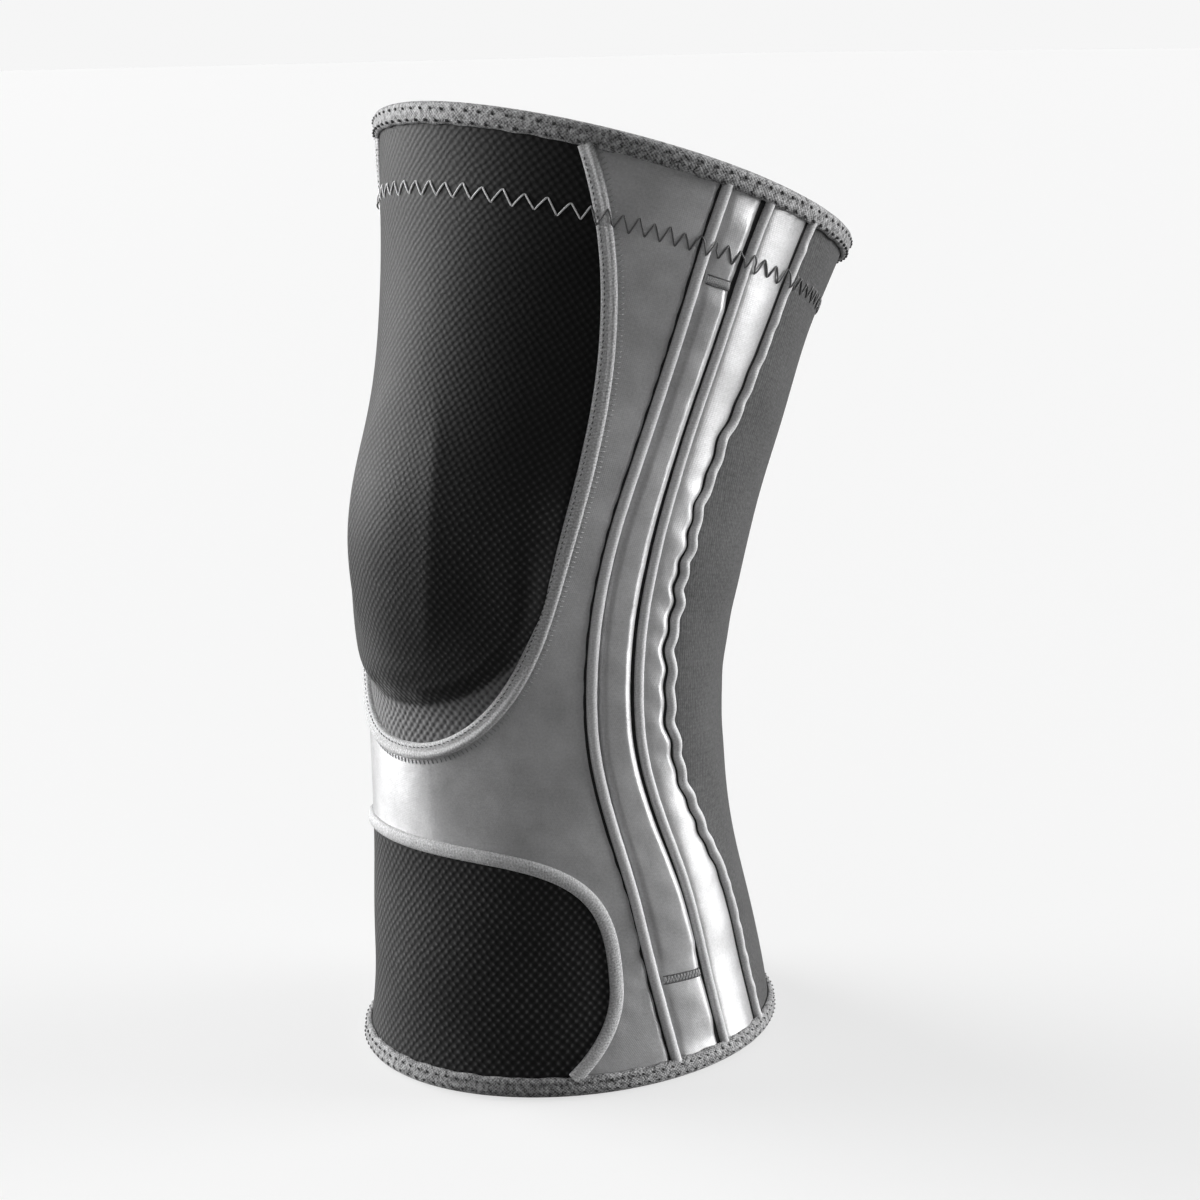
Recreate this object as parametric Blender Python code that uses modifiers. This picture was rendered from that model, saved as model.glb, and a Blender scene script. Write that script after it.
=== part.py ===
"""Knee brace: a knitted sleeve with satin side panels, a strap below the kneecap and two sprung side stays.

The wearer faces -Y and the left side is +X. The brace stands on its lower rim, on the plane Z = 0.
Every cloth piece lies on one leg surface, described by how far up the leg a point is (0 at the lower rim,
1 at the upper rim), its angle round the leg in degrees (0 front, 90 left, 180 back) and its distance outside.
"""

import bpy
import numpy as np
from mathutils import Matrix, Vector

# Leg surface. Each ring round the leg is an oval whose middle lies on a bowed centre line, and whose
# plane leans back more the higher it is. All heights are shares of the way up the leg.
LEG_HEIGHT = 0.273
LEG_LENGTH = 0.276
RIM_TILT = 20.0
CENTRE_START, CENTRE_LEAN, CENTRE_BOW = -0.0124, -0.031, 0.048
# Half the width from side to side: a waist that widens to the two rims.
WAIST_HEIGHT, WAIST_HALF_WIDTH = 0.38, 0.055
LOWER_SPREAD, UPPER_SPREAD = 0.005, 0.019
# Depth from the middle to the front: straight, with a swell at each rim and the kneecap's bulge.
SHIN_DEPTH = 0.061
LOWER_SWELL, LOWER_SWELL_END = 0.009, 0.25
UPPER_SWELL, UPPER_SWELL_START, UPPER_SWELL_POWER = 0.008, 0.30, 5
KNEECAP_BULGE, KNEECAP_HEIGHT, KNEECAP_REACH = 0.010, 0.58, 0.125
# Depth from the middle to the back: the hollow of the knee between calf and thigh.
HOLLOW_DEPTH, HOLLOW_HEIGHT = 0.050, 0.42
CALF_SWELL, THIGH_SWELL, THIGH_SWELL_POWER = 0.018, 0.033, 1.25
MEAN_RADIUS = 0.063

# How finely the cloth is divided, and a line is measured.
PANEL_ROWS = 19
ROUND_ANGLES = np.arange(0, 360, 11.25)
BINDING_ANGLES = np.arange(0, 360, 7.5)
SIDE_TAPE_ROWS = 26
KNEECAP_TAPE_ROWS = 49
SHIN_TAPE_ROWS = 31
SHIN_THREADS = 17
KNEECAP_THREADS = 19
LINE_STEPS = 500

# Cloth stack, as distances outside the leg surface.
PANEL_THICKNESS = 0.0012
LINING_OUTSIDE = -0.0022
LINING_THICKNESS = 0.0016
TAPE_OUTSIDE = 0.0015
TAPE_THICKNESS = 0.0010
SEAM_GAP = 0.0004
EDGE_TAPE_WIDTH = 0.0046
PIPING_WIDTH = 0.0036

# Panel ends under the two rim bindings.
LOW_EDGE = 0.014
HIGH_EDGE = 0.991

# Bindings folded over the rims: their width, and the wall at the fold.
BINDING_WIDTH = 0.0062
BINDING_FOLD = 0.0010
BINDING_OUTSIDE = 0.0017
BINDING_INSIDE = -0.0054
BINDING_THICKNESS = 0.0010
TAPE_CLEARANCE = 0.0009
TAPE_END = (BINDING_WIDTH + TAPE_CLEARANCE) / LEG_LENGTH
TAPE_ENDS = (TAPE_END, 1 - TAPE_END)
TAPE_CORNER = 0.0045

# The kneecap window is a U: half an oval up to its widest height, drawn in a little from there to the
# rim. The shin window's arch is wider at its sides than an oval. Angles are half widths.
KNEECAP_LOW, KNEECAP_WIDEST = 0.360, 0.680
KNEECAP_ANGLE, KNEECAP_RIM_ANGLE = 57.8, 41.0
KNEECAP_ROUNDING, KNEECAP_DRAW_POWER = 0.91, 2.5
SHIN_WIDEST, SHIN_TOP = 0.122, 0.264
SHIN_ANGLE, SHIN_RIM_ANGLE = 67.5, 52.5
SHIN_SIDE_ROUNDING, SHIN_TOP_ROUNDING = 0.46, 0.72
# The share of each window's edge that its knit's first and last threads start from.
KNEECAP_KNIT_START = 0.015
SHIN_KNIT_START = 0.10
# Heights on the front side seam that the satin's threads below and above the strap fan out to.
FAN_LOW, FAN_HIGH = 0.292, 0.378
FAN_LOW_BEND, FAN_HIGH_BEND = 1.45, 1.3
# The side seams' angles at every fifth of the height.
FRONT_SIDE_SEAM = (84.0, 75.5, 63.5, 68.0, 74.3, 78.5)
MIDDLE_SIDE_SEAM = (101.0, 93.0, 77.0, 80.0, 86.5, 91.7)
REAR_SIDE_SEAM = (120.5, 112.0, 88.5, 90.3, 101.7, 107.3)

# Stay pocket: raised in the middle so that the stay lies under it, and sewn down past its ends.
POCKET_RAISE = 0.0022
POCKET_THICKNESS = 0.0008
POCKET_RAISED = (0.158, 0.856)
POCKET_FADE = 0.020
POCKET_SHARES = (0.0, 0.14, 0.27, 0.5, 0.73, 0.86, 1.0)
STAY_LOW = 0.190
STAY_HIGH = 0.830
STAY_OUTSIDE = -0.0004
STAY_WIDTH = 0.0060
STAY_DEPTH = 0.0013
STAY_PITCH = 0.0060
STAY_WIRE_RADIUS = 0.00045
STAY_POINTS_PER_TURN = 6
TIP_SIZE = (0.0070, 0.0050, 0.0018)
TIP_ROUNDING = 0.0006
TIP_GAP = 0.0012
BAR_TACK_HEIGHTS = {"lower": 0.116, "upper": 0.885}
BAR_TACK_SIZE = 0.0030
BAR_TACK_THICKNESS = 0.0008
BAR_TACK_OUTSIDE = 0.0012
BAR_TACK_INSET = 0.0030

# Zigzag that holds the elastic band inside the thigh cuff.
ZIGZAG_HEIGHT = 0.915
ZIGZAG_SWING = 0.0052
ZIGZAG_COUNT = 58
THREAD_RADIUS = 0.00030
THREAD_OUTSIDE = 0.0006
HOP_ANGLE = 6.0  # within this of a tape, the zigzag passes over it
BAND_HEIGHTS = (0.894, 0.972)
BAND_OUTSIDE = -0.0044
BAND_THICKNESS = 0.0008

# Horseshoe gel pad inside the lining, open at the top, round the kneecap. Its half span is in degrees.
PAD_CENTRE = 0.550
PAD_RADIUS = 0.034
PAD_OUTSIDE = -0.0080
PAD_TUBE_RADIUS = 0.0036
PAD_HALF_SPAN = 140

# Knee axis, along X through the middle of the leg at this height, and the wedge of lining round it
# that stretches and folds as the knee bends.
KNEE_HEIGHT = 0.541
WEDGE_FRONT = 0.050
WEDGE_SIDE = 0.015
WEDGE_BACK = 0.200
WEDGE_CUT = 0.002

# Pieces that move with the thigh, by the start of their names.
THIGH_PIECES = ("lining_thigh", "upper_binding", "elastic_band", "zigzag_stitch", "bar_tack_upper",
                "stay_tip_upper", "front_knit_kneecap", "kneecap_window_tape", "kneecap_pad")

MATERIALS = {
    "front_knit": ((0.035, 0.035, 0.037), 0.85, 0.0),
    "rear_knit": ((0.110, 0.110, 0.113), 0.75, 0.0),
    "satin": ((0.300, 0.300, 0.305), 0.42, 0.0),
    "tape": ((0.400, 0.400, 0.405), 0.70, 0.0),
    "binding": ((0.340, 0.340, 0.345), 0.75, 0.0),
    "lining": ((0.050, 0.050, 0.052), 0.90, 0.0),
    "elastic": ((0.080, 0.080, 0.082), 0.80, 0.0),
    "thread": ((0.700, 0.700, 0.700), 0.60, 0.0),
    "dark_thread": ((0.060, 0.060, 0.060), 0.60, 0.0),
    "gel": ((0.250, 0.270, 0.290), 0.35, 0.0),
    "steel": ((0.600, 0.600, 0.610), 0.30, 1.0),
}


def clear_scene():
    for thing in list(bpy.data.objects):
        bpy.data.objects.remove(thing)


def make_material(slot):
    colour, roughness, metallic = MATERIALS[slot]
    material = bpy.data.materials.get(slot) or bpy.data.materials.new(slot)
    material.use_nodes = True
    shader = material.node_tree.nodes["Principled BSDF"]
    shader.inputs["Base Color"].default_value = (*colour, 1.0)
    shader.inputs["Roughness"].default_value = roughness
    shader.inputs["Metallic"].default_value = metallic
    return material


# Leg surface


def smooth_step(share):
    share = np.clip(share, 0, 1)
    return share * share * (3 - 2 * share)


def above(height, start):
    """How far a height is from a start to the upper rim, as a share."""
    return np.clip((height - start) / (1 - start), 0, None)


def below(height, end):
    """How far a height is from an end to the lower rim, as a share."""
    return np.clip((end - height) / end, 0, None)


def centre_line(height):
    return CENTRE_START + CENTRE_LEAN * height + CENTRE_BOW * height**2, LEG_HEIGHT * height


def half_width(height):
    return (WAIST_HALF_WIDTH + LOWER_SPREAD * below(height, WAIST_HEIGHT) ** 2
            + UPPER_SPREAD * above(height, WAIST_HEIGHT) ** 2)


def front_depth(height):
    return (SHIN_DEPTH + LOWER_SWELL * below(height, LOWER_SWELL_END) ** 2
            + UPPER_SWELL * above(height, UPPER_SWELL_START) ** UPPER_SWELL_POWER
            + KNEECAP_BULGE * np.exp(-((height - KNEECAP_HEIGHT) / KNEECAP_REACH) ** 2))


def back_depth(height):
    return (HOLLOW_DEPTH + CALF_SWELL * (1 - smooth_step(height / HOLLOW_HEIGHT))
            + THIGH_SWELL * above(height, HOLLOW_HEIGHT) ** THIGH_SWELL_POWER)


def leg_point(angle, height, outside=0.0):
    centre_y, centre_z = centre_line(height)
    turn, tilt = np.radians(angle), np.radians(RIM_TILT * smooth_step(height))
    depth = (front_depth(height) if np.cos(turn) > 0 else back_depth(height)) + outside
    along = -depth * np.cos(turn)
    return Vector(((half_width(height) + outside) * np.sin(turn),
                   centre_y + along * np.cos(tilt),
                   centre_z - along * np.sin(tilt)))


def knee_axis():
    return Vector((0, *centre_line(KNEE_HEIGHT)))


def leg_normal(angle, height):
    step_angle, step_height = 0.5, 0.002
    across = leg_point(angle + step_angle, height) - leg_point(angle - step_angle, height)
    up = leg_point(angle, height + step_height) - leg_point(angle, height - step_height)
    return across.cross(up).normalized()


# Seams: each is a function of t, from 0 to 1, that gives (angle, height).


def evenly(line):
    """The same line, read in even steps along the leg."""
    t = np.linspace(0, 1, LINE_STEPS + 1)
    points = [leg_point(*line(one)) for one in t]
    steps = [(after - before).length for before, after in zip(points, points[1:])]
    run = np.concatenate(([0], np.cumsum(steps)))
    return lambda share: line(np.interp(share, run / run[-1], t))


def kneecap_edge(t):
    """The kneecap window's left edge, from the middle of the strap to the upper rim."""
    turn, rise = np.pi / 2 * min(2 * t, 1), max(2 * t - 1, 0)
    return np.array((KNEECAP_ANGLE * np.sin(turn) ** KNEECAP_ROUNDING
                     - (KNEECAP_ANGLE - KNEECAP_RIM_ANGLE) * rise**KNEECAP_DRAW_POWER,
                     KNEECAP_WIDEST - (KNEECAP_WIDEST - KNEECAP_LOW) * np.cos(turn) ** KNEECAP_ROUNDING
                     + (HIGH_EDGE - KNEECAP_WIDEST) * rise))


def shin_edge(t):
    """The shin window's left edge, from the lower rim to the middle of the strap."""
    turn, drop = np.pi / 2 * max(2 * t - 1, 0), max(1 - 2 * t, 0)
    return np.array((SHIN_ANGLE * max(np.cos(turn), 0) ** SHIN_SIDE_ROUNDING
                     - (SHIN_ANGLE - SHIN_RIM_ANGLE) * drop**2,
                     SHIN_WIDEST + (SHIN_TOP - SHIN_WIDEST) * np.sin(turn) ** SHIN_TOP_ROUNDING
                     - (SHIN_WIDEST - LOW_EDGE) * drop))


def across_the_front(edge, rim_at_end):
    """A window's whole edge as one line, from the right rim end to the left one."""

    def read(t):
        from_middle = min(abs(2 * t - 1), 1)
        angle, height = edge(from_middle if rim_at_end else 1 - from_middle)
        return np.array((angle if t >= 0.5 else -angle, height))

    return read


def side_seam(angles, side=1):
    """A smooth seam up the leg, read by height. side is 1 on the left and -1 on the right."""
    last = len(angles) - 1
    ends = [2 * angles[0] - angles[1], *angles, 2 * angles[-1] - angles[-2]]

    def read(height):
        at = min(int(height * last), last - 1)
        t = height * last - at
        p0, p1, p2, p3 = ends[at:at + 4]
        angle = 0.5 * (2 * p1 + (p2 - p0) * t + (2 * p0 - 5 * p1 + 4 * p2 - p3) * t**2
                       + (3 * p1 - p0 - 3 * p2 + p3) * t**3)
        return np.array((side * angle, height))

    return read


def beside(line, distance):
    """The line moved along the leg surface: towards larger angles for a line that runs up the leg."""
    step = 0.004

    def moved(t):
        low, high = line(max(t - step, 0.0)), line(min(t + step, 1.0))
        across = np.radians(high[0] - low[0]) * MEAN_RADIUS
        up = (high[1] - low[1]) * LEG_LENGTH
        length = np.hypot(across, up)
        angle, height = line(t)
        return np.array((angle + np.degrees(distance * up / length / MEAN_RADIUS),
                         height - distance * across / length / LEG_LENGTH))

    return moved


# Builders


def link(thing, slot):
    thing.data.materials.append(make_material(slot))
    brace.objects.link(thing)
    return thing


def hang_on_thigh():
    """Puts the pieces that move with the thigh under an empty on the knee's axis."""
    hinge = bpy.data.objects.new("knee_axis", None)
    hinge.location = knee_axis()
    brace.objects.link(hinge)
    for piece in brace.objects:
        if piece.name.startswith(THIGH_PIECES):
            piece.parent = hinge
            piece.location = piece.location - hinge.location


def mesh_object(name, slot, points, faces):
    mesh = bpy.data.meshes.new(name)
    mesh.from_pydata(points, [], faces)
    mesh.shade_smooth()
    return link(bpy.data.objects.new(name, mesh), slot)


def shell(name, slot, rows, thickness, round_leg=False):
    """A cloth piece: a grid of surface points, rows from low to high, thickened inwards."""
    count = len(rows[0])
    points = [point for row in rows for point in row]
    faces = []
    for row in range(len(rows) - 1):
        for column in range(count if round_leg else count - 1):
            beyond = (column + 1) % count
            low, high = row * count, (row + 1) * count
            faces.append((low + column, low + beyond, high + beyond, high + column))
    piece = mesh_object(name, slot, points, faces)
    solidify = piece.modifiers.new("Thickness", "SOLIDIFY")
    solidify.thickness = thickness
    solidify.offset = -1
    solidify.use_even_offset = True
    return piece


def between(first, second, shares, raise_at=None):
    """A row of surface points from one (angle, height) to another, in even steps or at given shares."""
    row = []
    for share in np.linspace(0, 1, shares + 1) if isinstance(shares, int) else shares:
        angle, height = first + (second - first) * share
        row.append(leg_point(angle, height, raise_at(share, height) if raise_at else 0.0))
    return row


def strip(name, slot, line, width, outside, thickness, steps):
    """A flat tape sewn along a line."""
    near, far = beside(line, -width / 2), beside(line, width / 2)
    rows = [[leg_point(*near(t), outside), leg_point(*far(t), outside)] for t in steps]
    return shell(name, slot, rows, thickness)


def tube(name, slot, points, radius, closed=False, resolution=0):
    """A cord or wire along the points, as a curve with round section."""
    curve = bpy.data.curves.new(name, "CURVE")
    curve.dimensions = "3D"
    curve.bevel_depth = radius
    curve.bevel_resolution = resolution
    curve.use_fill_caps = True
    spline = curve.splines.new("POLY")
    spline.points.add(len(points) - 1)
    for target, point in zip(spline.points, points):
        target.co = (*point, 1.0)
    spline.use_cyclic_u = closed
    return link(bpy.data.objects.new(name, curve), slot)


def side_names():
    return (("left", 1), ("right", -1))


# Pieces


def lining_edges():
    """Heights of the cuts below and above the knee wedge, at an angle round the leg."""

    def wedge(angle):
        forward = np.cos(np.radians(angle))
        reach = WEDGE_FRONT - WEDGE_SIDE if forward > 0 else WEDGE_BACK - WEDGE_SIDE
        return WEDGE_SIDE + reach * abs(forward)

    return (lambda angle: KNEE_HEIGHT - wedge(angle)), (lambda angle: KNEE_HEIGHT + wedge(angle))


def make_lining():
    """The lining is one tube in cloth; its three zones are the shin, the knee wedge and the thigh."""
    below, above = lining_edges()
    zones = (
        ("lining_shin", lambda a: LOW_EDGE, lambda a: below(a) - WEDGE_CUT, 9),
        ("lining_knee", below, above, 9),
        ("lining_thigh", lambda a: above(a) + WEDGE_CUT, lambda a: HIGH_EDGE, 11),
    )
    for name, low, high, count in zones:
        rows = [[leg_point(a, low(a) + (high(a) - low(a)) * share, LINING_OUTSIDE)
                 for a in ROUND_ANGLES]
                for share in np.linspace(0, 1, count + 1)]
        shell(name, "lining", rows, LINING_THICKNESS, round_leg=True)


def make_kneecap_knit():
    """The kneecap knit fills the U window: each thread runs level from one edge to the other."""
    window = beside(evenly(kneecap_edge), -SEAM_GAP)
    rows = [between(window(t) * (-1, 1), window(t), 10)
            for t in np.linspace(KNEECAP_KNIT_START, 1, PANEL_ROWS)]
    shell("front_knit_kneecap", "front_knit", rows, PANEL_THICKNESS)


def make_shin_knit():
    """The shin knit: its threads run up from the rim to the arch over it."""
    arch = beside(across_the_front(evenly(shin_edge), False), SEAM_GAP)
    foot_angle = SHIN_RIM_ANGLE - 1.0
    starts = np.linspace(SHIN_KNIT_START, 1 - SHIN_KNIT_START, PANEL_ROWS)
    columns = [(np.array((foot_angle * turn, LOW_EDGE)), arch(start))
               for turn, start in zip(np.linspace(-1, 1, PANEL_ROWS), starts)]
    rows = [[leg_point(*(foot + (head - foot) * share)) for foot, head in columns]
            for share in np.linspace(0, 1, 6)]
    shell("front_knit_shin", "front_knit", rows, PANEL_THICKNESS)


def satin_threads():
    """The satin's cross threads on the left, as pairs of ends: on a window's edge and on the side seam."""
    outer = beside(side_seam(FRONT_SIDE_SEAM), -SEAM_GAP)
    shin_window, kneecap_window = (beside(evenly(edge), SEAM_GAP) for edge in (shin_edge, kneecap_edge))
    shin = [(shin_window(t), outer(LOW_EDGE + (FAN_LOW - LOW_EDGE) * (1 - (1 - t) ** FAN_LOW_BEND)))
            for t in np.linspace(0, 1, SHIN_THREADS)]
    kneecap = [(kneecap_window(t), outer(FAN_HIGH + (HIGH_EDGE - FAN_HIGH) * t**FAN_HIGH_BEND))
               for t in np.linspace(0, 1, KNEECAP_THREADS)]
    low_middle, high_middle = shin[-1], kneecap[0]
    low_middle[0][0] = high_middle[0][0] = 0.0
    strap = [tuple(low + (high - low) * share for low, high in zip(low_middle, high_middle))
             for share in (0.25, 0.5, 0.75)]
    return shin + strap + kneecap


def make_satin_wrap():
    """The two side panels and the strap that joins them below the kneecap are cut in one piece."""
    rows = [between(inner, outer, 6) for inner, outer in satin_threads()]
    piece = shell("satin_wrap", "satin", rows, PANEL_THICKNESS)
    mirror = piece.modifiers.new("Other side", "MIRROR")
    mirror.merge_threshold = 0.00005
    piece.modifiers.move(1, 0)


def pocket_raise(share, height):
    """The stay pocket stands up in its middle between the two bar tacks."""
    low, high = POCKET_RAISED
    rise = np.clip((height - low + POCKET_FADE) / POCKET_FADE, 0, 1)
    fall = np.clip((high + POCKET_FADE - height) / POCKET_FADE, 0, 1)
    flat_edge = share < POCKET_SHARES[2] or share > POCKET_SHARES[-3]
    return 0.0 if flat_edge else POCKET_RAISE * min(rise, fall)


def make_side_strips():
    for side_name, side in side_names():
        front = side_seam(FRONT_SIDE_SEAM, side)
        middle = side_seam(MIDDLE_SIDE_SEAM, side)
        rear = side_seam(REAR_SIDE_SEAM, side)
        pieces = (
            ("stay_pocket_" + side_name, front, middle, POCKET_SHARES, pocket_raise,
             POCKET_THICKNESS),
            ("rear_strip_" + side_name, middle, rear, 2, None, PANEL_THICKNESS),
        )
        for name, near, far, count, raised, thickness in pieces:
            near, far = beside(near, side * SEAM_GAP), beside(far, -side * SEAM_GAP)
            first, second = (near, far) if side > 0 else (far, near)
            rows = [between(first(t), second(t), count, raised) for t in strip_heights()]
            shell(name, "satin", rows, thickness)


def strip_heights():
    """Heights of the rows of a side strip, with extra rows where the pocket rises and falls."""
    even = np.linspace(LOW_EDGE, HIGH_EDGE, PANEL_ROWS)
    low, high = POCKET_RAISED
    ends = (low - POCKET_FADE, low, high, high + POCKET_FADE)
    return sorted(set(even) | set(ends))


def make_rear_knit():
    near = beside(side_seam(REAR_SIDE_SEAM), SEAM_GAP)
    rows = []
    for t in np.linspace(LOW_EDGE, HIGH_EDGE, PANEL_ROWS):
        left = near(t)
        rows.append(between(left, np.array((360 - left[0], left[1])), 14))
    shell("rear_knit", "rear_knit", rows, PANEL_THICKNESS)


def make_seam_tapes():
    """Piping over the three side seams, and edge tape round the two front windows."""
    heights = np.linspace(*TAPE_ENDS, SIDE_TAPE_ROWS)
    for side_name, side in side_names():
        for place, points in (("front", FRONT_SIDE_SEAM), ("middle", MIDDLE_SIDE_SEAM),
                              ("rear", REAR_SIDE_SEAM)):
            strip(f"piping_{place}_{side_name}", "tape", side_seam(points, side), PIPING_WIDTH,
                  TAPE_OUTSIDE, TAPE_THICKNESS, heights)
    for name, edge, rim_at_end, count in (
            ("kneecap_window_tape", kneecap_edge, True, KNEECAP_TAPE_ROWS),
            ("shin_window_tape", shin_edge, False, SHIN_TAPE_ROWS)):
        line = across_the_front(evenly(edge), rim_at_end)
        start = clear_of_binding(line)
        strip(name, "tape", line, EDGE_TAPE_WIDTH, TAPE_OUTSIDE, TAPE_THICKNESS,
              np.linspace(start, 1 - start, count))


def clear_of_binding(line):
    """How far along a line its slanting tape starts, so that its corner butts against the rim binding."""
    low, high = TAPE_ENDS[0] + TAPE_CORNER, TAPE_ENDS[1] - TAPE_CORNER
    return next(t for t in np.linspace(0, 0.5, 1001) if low <= line(t)[1] <= high)


def rim_ring(name, sections):
    """A binding folded over a rim: its closed section, as points, at each angle round the leg."""
    count = len(sections[0])
    points = [point for section in sections for point in section]
    faces = []
    for place in range(len(sections)):
        after = (place + 1) % len(sections)
        for corner in range(count):
            beyond = (corner + 1) % count
            faces.append((place * count + corner, after * count + corner,
                          after * count + beyond, place * count + beyond))
    return mesh_object(name, "binding", points, faces)


def make_bindings():
    """Each binding is a U of tape whose fold is flat, so that the brace stands on the lower one."""
    outer, inner, wall = BINDING_OUTSIDE, BINDING_INSIDE, BINDING_THICKNESS
    for name, rim, inwards in (("lower_binding", 0, 1), ("upper_binding", 1, -1)):
        fold, edge = (rim + inwards * reach / LEG_LENGTH for reach in (BINDING_FOLD, BINDING_WIDTH))
        section = ((outer, rim), (outer, edge), (outer - wall, edge), (outer - wall, fold),
                   (inner + wall, fold), (inner + wall, edge), (inner, edge), (inner, rim))
        if rim > edge:
            section = section[::-1]
        rim_ring(name, [[leg_point(angle, height, outside) for outside, height in section]
                        for angle in BINDING_ANGLES])


def make_stays():
    """Flattened spiral steel stays, with a tip at each end."""
    for side_name, side in side_names():
        front = side_seam(FRONT_SIDE_SEAM, side)
        middle = side_seam(MIDDLE_SIDE_SEAM, side)

        def centre(height):
            return (front(height)[0] + middle(height)[0]) / 2

        def frame(height):
            angle, step = centre(height), 0.004
            up = (leg_point(centre(height + step), height + step)
                  - leg_point(centre(height - step), height - step)).normalized()
            normal = leg_normal(angle, height)
            return leg_point(angle, height, STAY_OUTSIDE), up, normal, normal.cross(up)

        turns = round((STAY_HIGH - STAY_LOW) * LEG_LENGTH / STAY_PITCH)
        wire = []
        for count in range(turns * STAY_POINTS_PER_TURN + 1):
            share = count / (turns * STAY_POINTS_PER_TURN)
            place, _, normal, across = frame(STAY_LOW + (STAY_HIGH - STAY_LOW) * share)
            turn = 2 * np.pi * count / STAY_POINTS_PER_TURN
            wire.append(place + across * (STAY_WIDTH / 2 * np.cos(turn))
                        + normal * (STAY_DEPTH / 2 * np.sin(turn)))
        tube("stay_spring_" + side_name, "steel", wire, STAY_WIRE_RADIUS)
        for end, height, away in (("lower", STAY_LOW, -1), ("upper", STAY_HIGH, 1)):
            place, up, normal, across = frame(height)
            tip = place + up * away * (TIP_SIZE[1] / 2 + TIP_GAP)
            make_tip(f"stay_tip_{end}_{side_name}", tip, across, up, normal)


def make_tip(name, place, across, up, normal):
    """A crimped steel tip: a small plate with rounded edges."""
    bpy.ops.mesh.primitive_cube_add(size=1)
    piece = bpy.context.object
    bpy.context.collection.objects.unlink(piece)
    piece.name = name
    piece.data.transform(Matrix.Diagonal((*TIP_SIZE, 1)))
    axes = Matrix((across, normal.cross(across), normal)).transposed()
    piece.rotation_euler = axes.to_euler()
    piece.location = place
    link(piece, "steel")
    bevel = piece.modifiers.new("Round edges", "BEVEL")
    bevel.width = TIP_ROUNDING
    bevel.segments = 2


def make_bar_tacks():
    """The dense stitched bars that close each stay pocket."""
    for side_name, side in side_names():
        front = beside(side_seam(FRONT_SIDE_SEAM, side), side * BAR_TACK_INSET)
        middle = beside(side_seam(MIDDLE_SIDE_SEAM, side), -side * BAR_TACK_INSET)
        first, second = (front, middle) if side > 0 else (middle, front)
        for end, height in BAR_TACK_HEIGHTS.items():
            half = BAR_TACK_SIZE / 2 / LEG_LENGTH
            rows = [between(first(h), second(h), 4, lambda share, _: BAR_TACK_OUTSIDE)
                    for h in (height - half, height + half)]
            shell(f"bar_tack_{end}_{side_name}", "dark_thread", rows, BAR_TACK_THICKNESS)


def make_cuff():
    """The elastic band inside the thigh cuff and the zigzag stitch that holds it."""
    rows = [[leg_point(a, height, BAND_OUTSIDE) for a in ROUND_ANGLES]
            for height in np.linspace(*BAND_HEIGHTS, 3)]
    shell("elastic_band", "elastic", rows, BAND_THICKNESS, round_leg=True)
    swing = ZIGZAG_SWING / 2 / LEG_LENGTH
    crossings = [side_seam(points)(ZIGZAG_HEIGHT)[0]
                 for points in (FRONT_SIDE_SEAM, MIDDLE_SIDE_SEAM, REAR_SIDE_SEAM)]
    crossings.append(next(angle for angle, height in map(kneecap_edge, np.linspace(0, 1, LINE_STEPS + 1))
                          if height >= ZIGZAG_HEIGHT))
    points = []
    for count in range(2 * ZIGZAG_COUNT):
        angle = 180 * count / ZIGZAG_COUNT
        near = min(abs(min(angle, 360 - angle) - crossing) for crossing in crossings)
        outside = TAPE_OUTSIDE + THREAD_OUTSIDE if near < HOP_ANGLE else THREAD_OUTSIDE
        points.append(leg_point(angle, ZIGZAG_HEIGHT + (swing if count % 2 else -swing), outside))
    tube("zigzag_stitch", "thread", points, THREAD_RADIUS, closed=True)


def make_kneecap_pad():
    points = []
    for turn in np.radians(np.linspace(-PAD_HALF_SPAN, PAD_HALF_SPAN, 23)):
        angle = np.degrees(PAD_RADIUS * np.sin(turn) / MEAN_RADIUS)
        height = PAD_CENTRE - PAD_RADIUS * np.cos(turn) / LEG_LENGTH
        points.append(leg_point(angle, height, PAD_OUTSIDE))
    tube("kneecap_pad", "gel", points, PAD_TUBE_RADIUS, resolution=1)


clear_scene()
brace = bpy.data.collections.new("knee_brace")
bpy.context.scene.collection.children.link(brace)
make_lining()
make_kneecap_knit()
make_shin_knit()
make_satin_wrap()
make_side_strips()
make_rear_knit()
make_seam_tapes()
make_bindings()
make_stays()
make_bar_tacks()
make_cuff()
make_kneecap_pad()
hang_on_thigh()
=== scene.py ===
"""The knee brace as it looks: every cloth, seam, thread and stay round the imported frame.

Lengths are in metres unless a name ends in MM. Where a cloth is shaped, u, v, rise, width and the
distances to its edges are in millimetres. A place on the leg is an angle round it in degrees (0 front,
90 left, 180 back), a height (0 lower rim, 1 upper rim) and a distance outside.
"""

import bpy
import numpy as np
from mathutils import Matrix, Vector


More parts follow.
